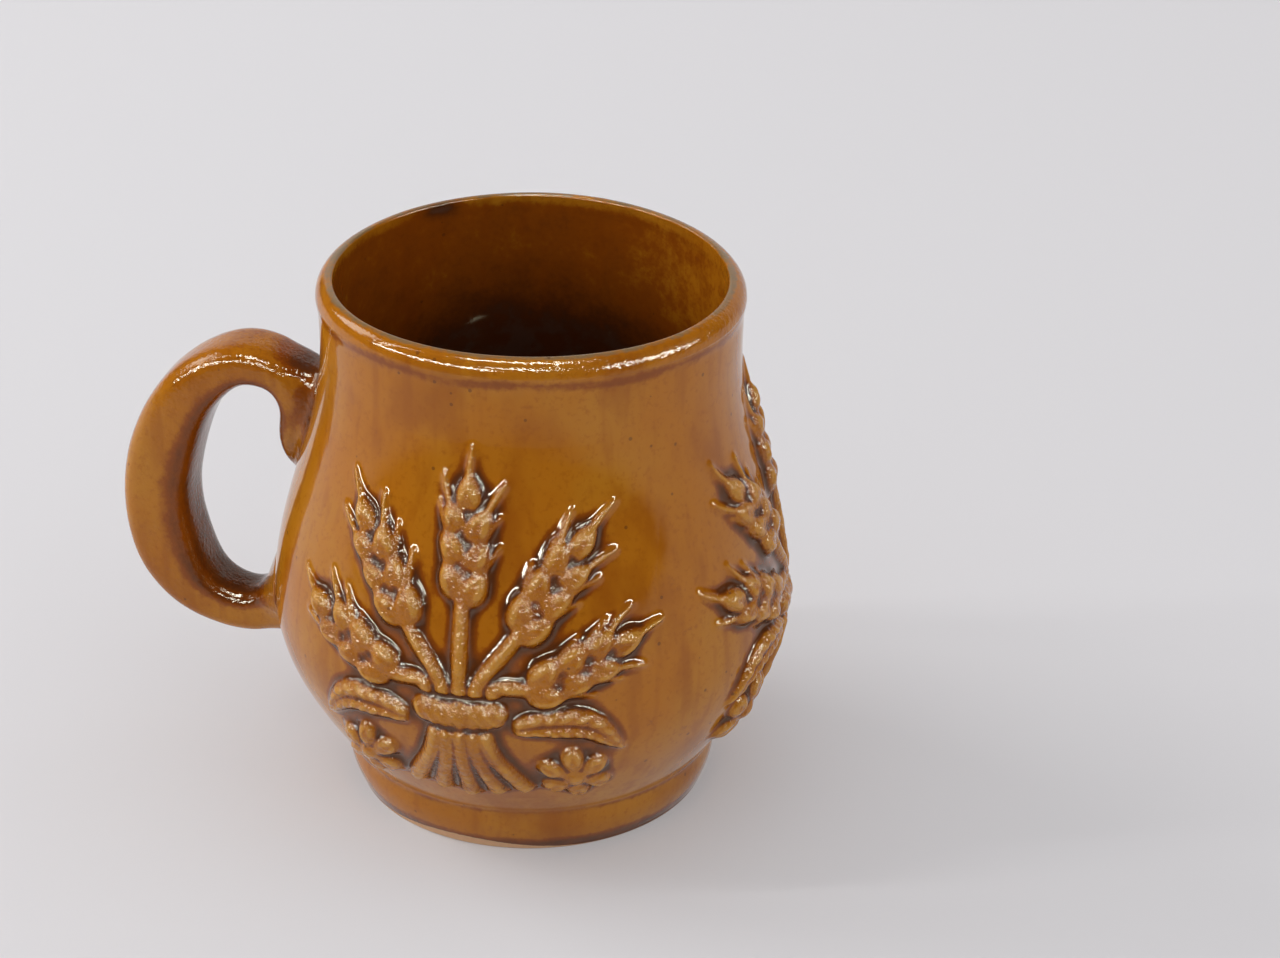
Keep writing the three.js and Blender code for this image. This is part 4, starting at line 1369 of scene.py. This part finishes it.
off, outward = from_wall(places)
turned_to_wall = smooth_step(-(normals_of(handle_mesh) * outward).sum(1), 0.20, 0.75)
pushed_in = turned_to_wall * (1.0 - smooth_step(off, 9.0, 18.0)) * at_tail
places = places - outward * (pushed_in * (off + SEAT_DEPTH))[:, None]
put_places(handle_mesh, places)

off, outward = from_wall(places)
normals = normals_of(handle_mesh)
aside = normals - (normals * outward).sum(1)[:, None] * outward
aside /= np.maximum(np.linalg.norm(aside, axis=1), 0.35)[:, None]
reach = FILLET + (NECK_FILLET - FILLET) * at_neck
share = 1.0 - np.clip(off, 0.0, reach) / reach
slide = reach * (1.0 - np.sqrt(1.0 - np.clip(share, 0.0, 0.98) ** 2))
drawn_up = THUMB_RISE * (1.0 - np.clip(off, 0.0, THUMB_REACH) / THUMB_REACH) ** 3
slide = slide + (drawn_up - slide) * at_thumb
places = places + aside * slide[:, None]
off_after, outward = from_wall(places)
places = places + outward * (at_thumb * (off - off_after))[:, None]
off, outward = from_wall(places)
places = places + outward * np.maximum(-DEEPEST - off, 0.0)[:, None]
put_places(handle_mesh, places)

# %% The glaze of the handle
seam = np.exp(-(np.clip(off, 0.0, None) / 0.9) ** 2)
edge = smooth_step(np.abs(2 * outwards * sideways), 0.75, 1.0)
near_neck = (1.0 - smooth_step(off, 4.0, 17.0)) * smooth_step(normals[:, 2], 0.1, 0.6) * at_tail
near_neck = np.maximum(near_neck, (1.0 - smooth_step(off, 2.0, 8.0)) * smooth_step(places[:, 2], 92.0, 104.0))
crown = smooth_step(normals[:, 2], 0.2, 0.9) * (1.0 - hole_side)
# painted shade: the side towards the hole, and its low end most, is painted darker
glaze_depth = 0.30 * seam - 0.25 * edge - 0.10 + 0.85 * hole_side + 0.20 * hole_side * low_end
glaze_depth += 0.26 * crown + 0.80 * near_neck - 0.80 * at_thumb * (1.0 - smooth_step(off, 3.0, 10.0))
paint(handle_mesh, "glaze_depth", np.clip(glaze_depth, -1.0, 1.1))
paint(handle_mesh, "puckered", np.ones(len(places)))
stand("pulled_handle", handle_mesh, ["handle"])
print("handle faces:", len(handle_mesh.polygons), "deepest in the wall, mm:", round(float(-off.min()), 1))
